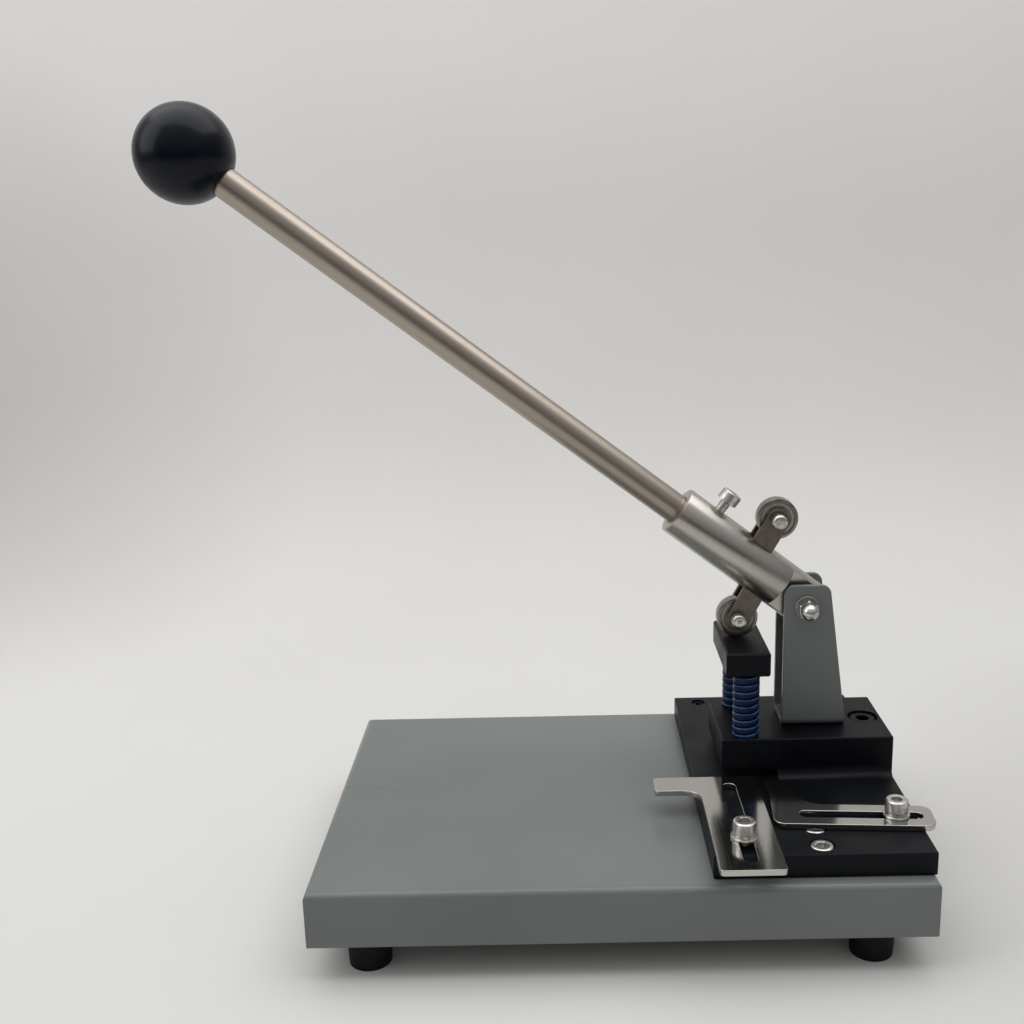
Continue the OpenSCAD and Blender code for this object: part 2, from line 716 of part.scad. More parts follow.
module right_guide_washers() washer_pair(right_screw);

// Press bar with its posts, punch and springs

module press_bar() color(black_oxide) placed() difference() {
    translate([bar_x, head_y, bar_z]) eased_box([bar_w, head_d, bar_h], bar_ease);
    for (y = [post_front_y, post_rear_y]) translate([bar_mid_x, y, bar_z - cut])
        cylinder(d = post_d + 2 * seat_gap, h = post_socket + cut);
    translate([bar_mid_x, head_mid_y, bar_z - cut])
        cylinder(d = punch_d + 2 * seat_gap, h = post_socket + cut);
}

// A post that guides the bar in the head
module guide_post(y) color(tool_steel) placed() translate([bar_mid_x, y, head_top - post_reach])
    cylinder(d = post_d, h = bar_z + post_socket - head_top + post_reach);

module front_guide_post() guide_post(post_front_y);

module rear_guide_post() guide_post(post_rear_y);

module punch() color(tool_steel) placed() translate([bar_mid_x, head_mid_y, punch_tip])
    cylinder(d = punch_d, h = bar_z + post_socket - punch_tip);

// Triangles of the spring: a start cap, two rows of sides and an end cap
spring_faces = concat(
    [for (k = [1:ring_sides - 2]) [0, k, k + 1]],
    [
        for (i = [0:last_ring - 1], k = [0:ring_sides - 1]) let (a = ring_sides * i, b = a + ring_sides)
            [a + k, b + k, b + (k + 1) % ring_sides]
    ],
    [
        for (i = [0:last_ring - 1], k = [0:ring_sides - 1]) let (a = ring_sides * i, b = a + ring_sides)
            [a + k, b + (k + 1) % ring_sides, a + (k + 1) % ring_sides]
    ],
    [for (k = [1:ring_sides - 2]) let (a = ring_sides * last_ring) [a, a + k + 1, a + k]]
);

module spring(y) color(spring_blue) placed() translate([bar_mid_x, y, head_top])
    polyhedron(points = spring_points, faces = spring_faces);

module front_spring() spring(post_front_y);

module rear_spring() spring(post_rear_y);

// Lever

// Round bar with a bore for the rod and a flat tongue with a round end at the pivot
module lever_hub() color(bright_steel) on_lever() difference() {
    union() {
        translate([tongue_reach, 0, 0]) x_cylinder(hub_d, hub_reach - tongue_reach - cut);
        translate([hub_reach - cut, 0, 0]) rotate([0, 90, 0])
            cylinder(d1 = hub_d, d2 = hub_d - 2 * cut, h = cut);
        intersection() {
            translate([-hub_r, 0, 0]) x_cylinder(hub_d, hub_r + tongue_reach + cut);
            union() {
                translate([0, -tongue_t / 2, 0]) y_cylinder(hub_d, tongue_t);
                translate([0, -tongue_t / 2, -hub_r]) cube([tongue_reach + cut, tongue_t, hub_d]);
            }
        }
    }
    translate([hub_reach - rod_socket, 0, 0]) x_cylinder(rod_d + 2 * seat_gap, rod_socket + cut);
    translate([0, -hub_d, 0]) y_cylinder(pivot_d + 2 * running_gap, 2 * hub_d);
    translate([clamp_reach, 0, 0]) cylinder(d = screw_d + 2 * seat_gap, h = hub_d);
}

module lever_rod() color(bright_steel) on_lever() translate([hub_reach - rod_socket + cut, 0, 0])
    x_cylinder(rod_d, lever_reach - ball_d / 2 + ball_socket - hub_reach + rod_socket - cut);

module ball_knob() color(black_phenolic) on_lever() translate([lever_reach, 0, 0]) difference() {
    sphere(d = ball_d);
    translate([-ball_d, 0, 0]) x_cylinder(rod_d + 2 * seat_gap, ball_d / 2 + ball_socket + slide_gap);
}

module clamp_screw() color(zinc_plate) on_lever() translate([clamp_reach, 0, hub_r + clamp_gap])
    cap_screw(screw_d, hub_r + clamp_gap - rod_d / 2 - slide_gap);

// Outline of a cheek plate above the lever's axis, with its round end at the roller
module cheek_outline(reach, lean) difference() {
    union() {
        translate([reach, roller_offset]) circle(cheek_r);
        polygon([
            [reach + lean - cheek_root_w / 2, hub_r / 2], [reach + lean + cheek_root_w / 2, hub_r / 2],
            [reach + cheek_r, roller_offset], [reach - cheek_r, roller_offset]
        ]);
    }
    translate([reach, roller_offset]) circle(d = roller_pin_d + 2 * seat_gap);
}

// A cheek plate whose front face lies at y, cut to the hub's round
module cheek(side, reach, lean, y) color(bright_steel) on_lever() difference() {
    translate([0, y, 0]) rotate([90, 0, 0]) linear_extrude(cheek_t)
        scale([1, side]) cheek_outline(reach, lean);
    x_cylinder(hub_d + 2 * seat_gap, hub_reach);
}

module lower_cheek_front() cheek(-1, lower_reach, lower_lean, cheek_gap / 2 + cheek_t);

module lower_cheek_rear() cheek(-1, lower_reach, lower_lean, -cheek_gap / 2);

module upper_cheek_front() cheek(1, upper_reach, -upper_lean, cheek_gap / 2 + cheek_t);

module upper_cheek_rear() cheek(1, upper_reach, -upper_lean, -cheek_gap / 2);

// Pieces on a roller's axis, with z = 0 in the roller's middle and +Z to the front
module on_roller(side, reach) on_lever() translate([reach, 0, side * roller_offset])
    rotate([-90, 0, 0]) children();

// Outer ring of a roller, with a shield let into each face
shield_sink = 0.4;
shield_d = 0.84;
module roller(side, reach) color(bright_steel) on_roller(side, reach) difference() {
    translate([0, 0, -roller_w / 2]) ring(roller_d, inner_ring_d + 2 * running_gap, roller_w);
    for (z = [-roller_w / 2 - cut, roller_w / 2 - shield_sink]) translate([0, 0, z])
        ring(shield_d * roller_d, inner_ring_d - cut, cut + shield_sink);
}

module inner_ring(side, reach) color(bright_steel) on_roller(side, reach)
    translate([0, 0, slide_gap / 2 - cheek_gap / 2])
        ring(inner_ring_d, roller_pin_d + 2 * seat_gap, cheek_gap - slide_gap);

// A pin with a domed front end
pin_dome_h = roller_pin_d / 4;
pin_dome_d = 5 * roller_pin_d / 4;
module pin(side, reach) color(zinc_plate) on_roller(side, reach) {
    translate([0, 0, -cheek_gap / 2 - cheek_t - pin_rear])
        cylinder(d = roller_pin_d, h = cheek_gap + 2 * cheek_t + pin_rear + pin_front - pin_dome_h);
    translate([0, 0, cheek_gap / 2 + cheek_t + pin_front - pin_dome_h]) intersection() {
        translate([0, 0, pin_dome_h - pin_dome_d / 2]) sphere(d = pin_dome_d);
        translate([0, 0, -pin_dome_h / 2]) cylinder(d = roller_pin_d, h = roller_pin_d);
    }
}

module lower_roller() roller(-1, lower_reach);

module lower_inner_ring() inner_ring(-1, lower_reach);

module lower_pin() pin(-1, lower_reach);

module upper_roller() roller(1, upper_reach);

module upper_inner_ring() inner_ring(1, upper_reach);

module upper_pin() pin(1, upper_reach);

base_tray();
foot_front_left();
foot_front_right();
foot_back_left();
foot_back_right();
foot_screws();
die_block();
die_bush();
plate_screws();
plate_back_screws();
head_screw();
under_nuts();
pivot_bracket();
bracket_screws();
pivot_bolt();
pivot_nut();
pivot_washers();
pivot_spacers();
left_guide();
left_guide_screw();
left_guide_washers();
right_guide();
right_guide_screw();
right_guide_washers();
press_bar();
front_guide_post();
rear_guide_post();
punch();
front_spring();
rear_spring();
lever_hub();
lever_rod();
ball_knob();
clamp_screw();
lower_cheek_front();
lower_cheek_rear();
upper_cheek_front();
upper_cheek_rear();
lower_roller();
lower_inner_ring();
lower_pin();
upper_roller();
upper_inner_ring();
upper_pin();
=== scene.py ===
# %% [markdown]
# # A bench hole punch
# The machine is a folded grey tray with a black die block on it. A long lever with a ball knob turns in a
# bracket, and a roller under the lever presses a sprung bar, which drives one round punch.
# The solid model gives every place and size, in metres, with +Z up and the front towards -Y. This lesson
# dresses it: first the camera and the light, then the finishes, then the pieces that need finer shapes.

# %% Load the solid model
import json
import math

import bmesh
import bpy
from mathutils import Matrix, Vector


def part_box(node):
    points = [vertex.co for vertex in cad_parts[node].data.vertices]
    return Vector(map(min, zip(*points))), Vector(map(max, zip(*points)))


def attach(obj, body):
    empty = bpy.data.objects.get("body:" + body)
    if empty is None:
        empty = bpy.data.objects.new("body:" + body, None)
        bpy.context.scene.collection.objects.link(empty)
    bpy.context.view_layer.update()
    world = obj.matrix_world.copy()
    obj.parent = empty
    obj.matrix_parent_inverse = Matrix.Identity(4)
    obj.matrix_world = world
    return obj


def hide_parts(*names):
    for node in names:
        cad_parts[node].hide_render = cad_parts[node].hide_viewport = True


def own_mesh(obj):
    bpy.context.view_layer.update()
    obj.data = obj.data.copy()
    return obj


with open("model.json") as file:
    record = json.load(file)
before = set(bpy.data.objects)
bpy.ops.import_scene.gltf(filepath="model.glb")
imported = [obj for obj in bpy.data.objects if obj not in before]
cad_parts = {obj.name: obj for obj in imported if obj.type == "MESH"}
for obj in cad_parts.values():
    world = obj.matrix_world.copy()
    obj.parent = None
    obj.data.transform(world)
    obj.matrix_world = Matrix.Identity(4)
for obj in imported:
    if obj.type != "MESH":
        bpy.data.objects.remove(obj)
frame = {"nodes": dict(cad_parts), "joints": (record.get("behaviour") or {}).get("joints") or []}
nodes = frame["nodes"]
joint_at = {joint["name"]: joint.get("pos_m") for joint in frame["joints"]}
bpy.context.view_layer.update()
MM = 0.001
TOUCHING = 1e-7

# %% [markdown]
# ## Camera
# The picture was taken by hand from the front, above the lever's hub and looking down. The lens is a normal
# one, and the small shift stands for the crop, so the machine lands where the picture has it.

# %% Place the camera
camera_place = Vector((13.63, -603.65, 355.2)) * MM
tilt_down, roll, turn = 0.2408, 0.0066, -0.0227
looking_along_y = Matrix(((1, 0, 0), (0, 0, -1), (0, 1, 0)))
world_to_view = (
    Matrix.Rotation(turn, 3, "Z") @ Matrix.Rotation(tilt_down, 3, "X")
    @ Matrix.Rotation(roll, 3, "Y") @ looking_along_y
)
right, down, ahead = world_to_view
camera_axes = Matrix((right, -down, -ahead)).transposed()
camera_data = bpy.data.cameras.new("front_camera")
camera_data.lens = 42.4
camera_data.sensor_width = 36
camera_data.shift_x = -0.0404
camera_data.shift_y = 0.0025
camera = bpy.data.objects.new("front_camera", camera_data)
camera.matrix_world = Matrix.Translation(camera_place) @ camera_axes.to_4x4()
bpy.context.collection.objects.link(camera)
bpy.context.scene.camera = camera
print("camera looks along", -camera_axes.col[2])

# %% [markdown]
# ## Helpers for finishes
# Colours are written as the hex values a painter would read off a screen, so one function turns them into
# the linear light that the renderer counts in. Another adds a node: its settings are keywords, and each
# input takes a plain value or the socket it is wired to. Two more start a material and fill a colour ramp.


# %% Colour and node helpers
def linear(hex_colour):
    """Turns an sRGB hex value into linear red, green, blue and full alpha."""
    parts = [int(hex_colour[i : i + 2], 16) / 255 for i in (1, 3, 5)]
    return [c / 12.92 if c <= 0.04045 else ((c + 0.055) / 1.055) ** 2.4 for c in parts] + [1.0]


def add(tree, kind, inputs=None, **settings):
    """Adds a node of that kind, with its settings, and its inputs set to values or wired to sockets."""
    node = tree.nodes.new(kind)
    for name, value in settings.items():
        setattr(node, name, value)
    for name, value in (inputs or {}).items():
        if isinstance(value, bpy.types.NodeSocket):
            tree.links.new(value, node.inputs[name])
        else:
            node.inputs[name].default_value = value
    return node


def new_finish(name):
    """Starts a material with only a shader and its output, and returns the material, tree and shader."""
    finish = bpy.data.materials.new(name)
    finish.use_nodes = True
    finish.node_tree.nodes.clear()
    shader = add(finish.node_tree, "ShaderNodeBsdfPrincipled")
    add(finish.node_tree, "ShaderNodeOutputMaterial", {"Surface": shader.outputs["BSDF"]})
    return finish, finish.node_tree, shader


def shades(ramp, *stops):
    """Sets a colour ramp's stops, given as (position, hex colour)."""
    points = ramp.color_ramp.elements
    while len(points) < len(stops):
        points.new(0.5)
    for point, (position, colour) in zip(points, stops):
        point.position = position
        point.color = linear(colour)


print("white is", linear("#ffffff"))

# %% [markdown]
# ## Studio
# The machine stands on a pale sweep of paper that rises behind it, so there is no line between floor and
# wall. A mesh of a few points, bent by extruding an edge, is enough for the sweep, and a subdivision
# smooths its bend.

# %% Paper sweep
sweep_bm = bmesh.new()
sweep_path = [(-1.6, 0.0), (0.36, 0.0), (0.64, 0.03), (0.78, 0.22), (0.82, 0.9), (0.84, 2.4)]
row = [sweep_bm.verts.new((x, sweep_path[0][0], sweep_path[0][1])) for x in (-2.6, 2.6)]
edge = sweep_bm.edges.new(row)
for (y0, z0), (y1, z1) in zip(sweep_path, sweep_path[1:]):
    grown = bmesh.ops.extrude_edge_only(sweep_bm, edges=[edge])["geom"]
    edge = next(g for g in grown if isinstance(g, bmesh.types.BMEdge) and len(g.link_faces) == 1
                and all(v in grown for v in g.verts))
    bmesh.ops.translate(sweep_bm, verts=list(edge.verts), vec=(0, y1 - y0, z1 - z0))
for face in sweep_bm.faces:
    face.smooth = True
bmesh.ops.recalc_face_normals(sweep_bm, faces=sweep_bm.faces)
sweep_mesh = bpy.data.meshes.new("paper_sweep")
sweep_bm.to_mesh(sweep_mesh)
sweep_bm.free()
sweep = bpy.data.objects.new("paper_sweep", sweep_mesh)
bpy.context.collection.objects.link(sweep)
smoothing = sweep.modifiers.new("smooth_bend", "SUBSURF")
smoothing.levels = smoothing.render_levels = 3
print("paper sweep faces:", len(sweep_mesh.polygons))

# %% [markdown]
# Backdrop paper is matt and slightly warm. Light and shade are painted into it: a soft ramp over height makes
# the wall lighter towards the top, and two wide round spots of painted shade darken it, one at the left of the
# bend and one on the floor at the right.

# %% Backdrop paper
paper, tree, shader = new_finish("matt_backdrop_paper")
place = add(tree, "ShaderNodeTexCoord")
apart = add(tree, "ShaderNodeSeparateXYZ", {"Vector": place.outputs["Object"]})
# Painted light: the ramp makes the paper lighter towards the top of the wall.
rise = add(tree, "ShaderNodeMapRange", {"Value": apart.outputs["Z"], "From Min": 0.0, "From Max": 0.6})
wall = add(tree, "ShaderNodeValToRGB", {"Fac": rise.outputs["Result"]})
shades(wall, (0.0, "#d3d2cf"), (0.1, "#d2d0cd"), (0.5, "#d8d6d4"), (1.0, "#e4e2e1"))
wall.color_ramp.interpolation = "EASE"
blotches = add(tree, "ShaderNodeTexNoise", {"Vector": place.outputs["Object"], "Scale": 5.0, "Detail": 2.0})
tone = add(tree, "ShaderNodeMapRange", {"Value": blotches.outputs["Fac"], "To Min": 0.97, "To Max": 1.03})
uneven = add(tree, "ShaderNodeMix", data_type="RGBA", blend_type="MULTIPLY")
uneven.inputs[0].default_value = 1.0
tree.links.new(wall.outputs["Color"], uneven.inputs[6])
tree.links.new(tone.outputs["Result"], uneven.inputs[7])
shaded = uneven.outputs[2]
# Painted shade: two wide round spots darken the paper at the left of the bend and on the floor at the right.
for middle, reach, depth in (
    ((-0.85, 0.65, 0.05), 0.6, "#cfcdca"), ((0.6, -0.1, 0.0), 0.5, "#d5d3d2"),
):
    spot = add(tree, "ShaderNodeMapping", {"Vector": place.outputs["Object"], "Location": middle,
                                           "Scale": (reach, reach, reach)}, vector_type="TEXTURE")
    ball = add(tree, "ShaderNodeTexGradient", {"Vector": spot.outputs["Vector"]}, gradient_type="SPHERICAL")
    dim = add(tree, "ShaderNodeMix", data_type="RGBA", blend_type="MULTIPLY")
    tree.links.new(ball.outputs["Fac"], dim.inputs[0])
    tree.links.new(shaded, dim.inputs[6])
    dim.inputs[7].default_value = linear(depth)
    shaded = dim.outputs[2]
tree.links.new(shaded, shader.inputs["Base Color"])
shader.inputs["Roughness"].default_value = 0.9
shader.inputs["Specular IOR Level"].default_value = 0.2
sweep_mesh.materials.append(paper)
print("backdrop:", paper.name)

# %% [markdown]
# The light is a wide soft box above, which lights the rod from end to end, a weaker one from the left, and a
# pale surround. Bright metal shows what stands around it. A photographer sets a dark flag behind the camera,
# and polished bar then gets its long dark streak. The flag is kept out of the camera's own sight.

# %% Lights and surround
light_aim = Vector((0.05, 0, 0.15))
for name, place_mm, wide, deep, watts in (
    ("top_softbox", (50, 120, 1500), 2.6, 1.4, 18.4),
    ("left_softbox", (-1300, -300, 900), 1.0, 1.0, 4.5),
):
    lamp_data = bpy.data.lights.new(name, "AREA")
    lamp_data.shape = "RECTANGLE"
    lamp_data.size, lamp_data.size_y = wide, deep
    lamp_data.energy = watts
    lamp_data.color = linear("#ffffff")[:3]
    lamp = bpy.data.objects.new(name, lamp_data)
    lamp.location = Vector(place_mm) * MM
    lamp.rotation_euler = (light_aim - lamp.location).to_track_quat("-Z", "Y").to_euler()
    bpy.context.collection.objects.link(lamp)
world = bpy.data.worlds.new("pale_room")
world.use_nodes = True
world.node_tree.nodes.clear()
direction = add(world.node_tree, "ShaderNodeTexCoord")
height = add(world.node_tree, "ShaderNodeSeparateXYZ", {"Vector": direction.outputs["Generated"]})
room = add(world.node_tree, "ShaderNodeValToRGB", {"Fac": height.outputs["Z"]})
shades(room, (0.0, "#6c6b6b"), (0.4, "#b6b6b6"), (1.0, "#f0f2f4"))
surround = add(world.node_tree, "ShaderNodeBackground", {"Color": room.outputs["Color"], "Strength": 0.8})
add(world.node_tree, "ShaderNodeOutputWorld", {"Surface": surround.outputs["Background"]})
bpy.context.scene.world = world
bpy.context.scene.view_settings.view_transform = "Standard"

# %% Dark flag behind the camera
flag_bm = bmesh.new()
flag_left, flag_right, flag_y, flag_height = -1.3, 1.3, -1.35, 0.36
foot_edge = flag_bm.edges.new([flag_bm.verts.new((x, flag_y, 0)) for x in (flag_left, flag_right)])
grown = bmesh.ops.extrude_edge_only(flag_bm, edges=[foot_edge])["geom"]
bmesh.ops.translate(flag_bm, verts=[g for g in grown if isinstance(g, bmesh.types.BMVert)],
                    vec=(0, 0, flag_height))
flag_mesh = bpy.data.meshes.new("dark_flag")
flag_bm.to_mesh(flag_mesh)
flag_bm.free()
flag = bpy.data.objects.new("dark_flag", flag_mesh)
bpy.context.collection.objects.link(flag)
flag.visible_camera = False
flag_cloth, tree, shader = new_finish("brown_flag_cloth")
place = add(tree, "ShaderNodeTexCoord")
folds = add(tree, "ShaderNodeTexNoise", {"Vector": place.outputs["Object"], "Scale": 6.0, "Detail": 2.0})
tint = add(tree, "ShaderNodeValToRGB", {"Fac": folds.outputs["Fac"]})
shades(tint, (0.3, "#3a302a"), (0.7, "#4c4139"))
tree.links.new(tint.outputs["Color"], shader.inputs["Base Color"])
shader.inputs["Roughness"].default_value = 0.95
flag_mesh.materials.append(flag_cloth)
print("flag:", flag.name)

# %% [markdown]
# ## Finishes
# ### Grey enamel
# The tray and the bracket are sheet steel with a sprayed and baked grey enamel. That gives a semi-gloss skin
# with a fine orange peel and a little cloudiness, about a hand wide, from handling. The orange peel is really
# about 0.8 mm from bump to bump; it is drawn at 2 mm so that it shows.

# %% Sprayed grey enamel
enamel, tree, shader = new_finish("sprayed_grey_enamel")
place = add(tree, "ShaderNodeTexCoord")
clouds = add(tree, "ShaderNodeTexNoise", {"Vector": place.outputs["Object"], "Scale": 9.0, "Detail": 3.0,
                                          "Roughness": 0.45})
tint = add(tree, "ShaderNodeValToRGB", {"Fac": clouds.outputs["Fac"]})
shades(tint, (0.0, "#636866"), (1.0, "#727775"))
tint.color_ramp.interpolation = "EASE"
tree.links.new(tint.outputs["Color"], shader.inputs["Base Color"])
gloss = add(tree, "ShaderNodeMapRange", {"Value": clouds.outputs["Fac"], "To Min": 0.24, "To Max": 0.34})
tree.links.new(gloss.outputs["Result"], shader.inputs["Roughness"])
peel = add(tree, "ShaderNodeTexNoise", {"Vector": place.outputs["Object"], "Scale": 1 / (2 * MM), "Detail": 1.0})
relief = add(tree, "ShaderNodeBump", {"Height": peel.outputs["Fac"], "Strength": 0.05, "Distance": 0.0003})
tree.links.new(relief.outputs["Normal"], shader.inputs["Normal"])
shader.inputs["IOR"].default_value = 1.5
print("enamel:", enamel.name)

# %% [markdown]
# ### Blackened steel
# The die block, the press bar and the sunk screws are black. The block is machined and then blackened, so
# it is satin, nearly free of colour, with the cutter's fine lines still in it. The lines are 0.3 mm apart;
# they are drawn 1.2 mm apart to show. Handled patches, about 25 mm wide, are a touch greyer and shinier.

# %% Blackened machined steel
black, tree, shader = new_finish("blackened_machined_steel")
place = add(tree, "ShaderNodeTexCoord")
stretch = add(tree, "ShaderNodeMapping", {"Vector": place.outputs["Object"], "Scale": (20.0, 833.0, 833.0)})
lines = add(tree, "ShaderNodeTexNoise", {"Vector": stretch.outputs["Vector"], "Scale": 1.0, "Detail": 2.0})
handling = add(tree, "ShaderNodeTexNoise", {"Vector": place.outputs["Object"], "Scale": 40.0, "Detail": 5.0})
tint = add(tree, "ShaderNodeValToRGB", {"Fac": handling.outputs["Fac"]})
shades(tint, (0.2, "#04060a"), (0.8, "#090c13"))
tree.links.new(tint.outputs["Color"], shader.inputs["Base Color"])
gloss = add(tree, "ShaderNodeMapRange", {"Value": handling.outputs["Fac"], "From Min": 0.3, "From Max": 0.7,
                                         "To Min": 0.36, "To Max": 0.5})
tree.links.new(gloss.outputs["Result"], shader.inputs["Roughness"])
relief = add(tree, "ShaderNodeBump", {"Height": lines.outputs["Fac"], "Strength": 0.06, "Distance": 0.0002})
tree.links.new(relief.outputs["Normal"], shader.inputs["Normal"])
shader.inputs["Specular IOR Level"].default_value = 0.15
print("blackened:", black.name)

# %% [markdown]
# ### Brushed steel
# The guides are cut from stainless strip that was brushed along its length, so fine lines run one way and
# the shine spreads across them. The real lines are about 0.1 mm wide and are drawn at 0.3 mm. The two
# guides lie across each other, so the same finish is made twice with its lines turned.

# %% Brushed stainless strip
brushed = {}
for name, scale in (("left_guide", (3300.0, 25.0, 3300.0)), ("right_guide", (25.0, 3300.0, 3300.0))):
    strip, tree, shader = new_finish("brushed_stainless_" + name)
    place = add(tree, "ShaderNodeTexCoord")
    stretch = add(tree, "ShaderNodeMapping", {"Vector": place.outputs["Object"], "Scale": scale})
    lines = add(tree, "ShaderNodeTexNoise", {"Vector": stretch.outputs["Vector"], "Scale": 1.0, "Detail": 2.0})
    tint = add(tree, "ShaderNodeValToRGB", {"Fac": lines.outputs["Fac"]})
    shades(tint, (0.2, "#bab7b2"), (0.8, "#c6c3bd"))
    tree.links.new(tint.outputs["Color"], shader.inputs["Base Color"])
    gloss = add(tree, "ShaderNodeMapRange", {"Value": lines.outputs["Fac"], "From Min": 0.3, "From Max": 0.7,
                                             "To Min": 0.1, "To Max": 0.15})
    tree.links.new(gloss.outputs["Result"], shader.inputs["Roughness"])
    relief = add(tree, "ShaderNodeBump", {"Height": lines.outputs["Fac"], "Strength": 0.03, "Distance": 0.0001})
    tree.links.new(relief.outputs["Normal"], shader.inputs["Normal"])
    shader.inputs["Metallic"].default_value = 1.0
    brushed[name] = strip
print("brushed:", list(brushed))

# %% [markdown]
# ### Drawn and turned steel
# The rod is drawn bar, rubbed along its length and nickel plated, which gives it a slightly warm satin. Its
# lines follow the lever, so the pattern is turned by the lever's angle before it is stretched. They are about
# 0.1 mm wide and are drawn at 0.6 mm to show. The hub is turned bar, greyer and a little shinier.

# %% Drawn and turned bar
LEVER_ANGLE = math.radians(37.4)
bar_finish = {}
for name, dark, light, least, most in (
    ("satin_drawn_bar", "#9c9288", "#ada398", 0.33, 0.38),
    ("satin_turned_bar", "#b1aca6", "#bfbab4", 0.24, 0.32),
):
    finish, tree, shader = new_finish(name)
    place = add(tree, "ShaderNodeTexCoord")
    along = add(tree, "ShaderNodeMapping", {"Vector": place.outputs["Object"], "Rotation": (0, -LEVER_ANGLE, 0)})
    stretch = add(tree, "ShaderNodeMapping", {"Vector": along.outputs["Vector"], "Scale": (9.0, 1600.0, 1600.0)})
    lines = add(tree, "ShaderNodeTexNoise", {"Vector": stretch.outputs["Vector"], "Scale": 1.0, "Detail": 2.0})
    smears = add(tree, "ShaderNodeTexNoise", {"Vector": place.outputs["Object"], "Scale": 35.0, "Detail": 3.0})
    tint = add(tree, "ShaderNodeValToRGB", {"Fac": lines.outputs["Fac"]})
    shades(tint, (0.3, dark), (0.7, light))
    tree.links.new(tint.outputs["Color"], shader.inputs["Base Color"])
    gloss = add(tree, "ShaderNodeMapRange", {"Value": smears.outputs["Fac"], "From Min": 0.3, "From Max": 0.7,
                                             "To Min": least, "To Max": most})
    tree.links.new(gloss.outputs["Result"], shader.inputs["Roughness"])
    shader.inputs["Metallic"].default_value = 1.0
    bar_finish[name] = finish
rod_steel, hub_steel = bar_finish.values()
print("bar finishes:", list(bar_finish))

# %% [markdown]
# ### Zinc plate and ground steel
# Screws, nuts, guide washers and pins are zinc plated: bright, a little cloudy, with dull spots of about 2 mm.
# The posts, the punch, the die bush, the bearing rings and the pivot's washers are ground tool steel, which is
# greyer, with a haze in patches of about 4 mm. The thin shields of the bearings are pressed from dull sheet,
# and the cheeks are rough-ground plate, darker still.

# %% Bright zinc plate
zinc, tree, shader = new_finish("bright_zinc_plate")
place = add(tree, "ShaderNodeTexCoord")
spots = add(tree, "ShaderNodeTexNoise", {"Vector": place.outputs["Object"], "Scale": 420.0, "Detail": 4.0})
tint = add(tree, "ShaderNodeValToRGB", {"Fac": spots.outputs["Fac"]})
shades(tint, (0.3, "#b1afaa"), (0.65, "#d6d5d0"))
tree.links.new(tint.outputs["Color"], shader.inputs["Base Color"])
gloss = add(tree, "ShaderNodeMapRange", {"Value": spots.outputs["Fac"], "From Min": 0.3, "From Max": 0.7,
                                         "To Min": 0.38, "To Max": 0.24})
tree.links.new(gloss.outputs["Result"], shader.inputs["Roughness"])
shader.inputs["Metallic"].default_value = 1.0
print("zinc plate:", zinc.name)

# %% Ground steel and pressed shields
steel_finish = {}
for name, dark, light, least, most in (
    ("ground_tool_steel", "#7b7874", "#9c9993", 0.24, 0.4),
    ("pressed_dull_shield", "#a0968f", "#b2a8a1", 0.36, 0.46),
    ("rough_ground_cheek", "#655d57", "#7a726b", 0.34, 0.44),
):
    finish, tree, shader = new_finish(name)
    place = add(tree, "ShaderNodeTexCoord")
    haze = add(tree, "ShaderNodeTexNoise", {"Vector": place.outputs["Object"], "Scale": 260.0, "Detail": 5.0})
    tint = add(tree, "ShaderNodeValToRGB", {"Fac": haze.outputs["Fac"]})
    shades(tint, (0.3, dark), (0.7, light))
    tree.links.new(tint.outputs["Color"], shader.inputs["Base Color"])
    gloss = add(tree, "ShaderNodeMapRange", {"Value": haze.outputs["Fac"], "From Min": 0.3, "From Max": 0.7,
                                             "To Min": least, "To Max": most})
    tree.links.new(gloss.outputs["Result"], shader.inputs["Roughness"])
    shader.inputs["Metallic"].default_value = 1.0
    steel_finish[name] = finish
ground, shield, cheek_steel = steel_finish.values()
print("steel finishes:", list(steel_finish))

# %% [markdown]
# ### Rubber, phenolic and spring paint
# The feet are moulded black rubber, matt with a bloom in patches of about 4 mm. The ball is polished black
# phenolic, a deep black with a clear shine and a few scuffs about 10 mm long. The springs are painted a dark
# blue, uneven every 3 mm or so, with a lighter greyish blue painted along the wire's upper outer edge as a
# highlight.

# %% Moulded black rubber
rubber, tree, shader = new_finish("moulded_black_rubber")
place = add(tree, "ShaderNodeTexCoord")
bloom = add(tree, "ShaderNodeTexNoise", {"Vector": place.outputs["Object"], "Scale": 220.0, "Detail": 4.0})
tint = add(tree, "ShaderNodeValToRGB", {"Fac": bloom.outputs["Fac"]})
shades(tint, (0.0, "#050607"), (1.0, "#101214"))
tree.links.new(tint.outputs["Color"], shader.inputs["Base Color"])
relief = add(tree, "ShaderNodeBump", {"Height": bloom.outputs["Fac"], "Strength": 0.15, "Distance": 0.0003})
tree.links.new(relief.outputs["Normal"], shader.inputs["Normal"])
shader.inputs["Roughness"].default_value = 0.58
shader.inputs["Specular IOR Level"].default_value = 0.2
print("rubber:", rubber.name)

# %% Polished black phenolic
phenolic, tree, shader = new_finish("polished_black_phenolic")
place = add(tree, "ShaderNodeTexCoord")
scuffs = add(tree, "ShaderNodeTexNoise", {"Vector": place.outputs["Object"], "Scale": 90.0, "Detail": 6.0,
                                          "Roughness": 0.65})
tint = add(tree, "ShaderNodeValToRGB", {"Fac": scuffs.outputs["Fac"]})
shades(tint, (0.0, "#04070d"), (1.0, "#0a111f"))
tree.links.new(tint.outputs["Color"], shader.inputs["Base Color"])
gloss = add(tree, "ShaderNodeMapRange", {"Value": scuffs.outputs["Fac"], "From Min": 0.35, "From Max": 0.7,
                                         "To Min": 0.2, "To Max": 0.3})
tree.links.new(gloss.outputs["Result"], shader.inputs["Roughness"])
shader.inputs["IOR"].default_value = 1.5
shader.inputs["Specular IOR Level"].default_value = 0.2
print("phenolic:", phenolic.name)

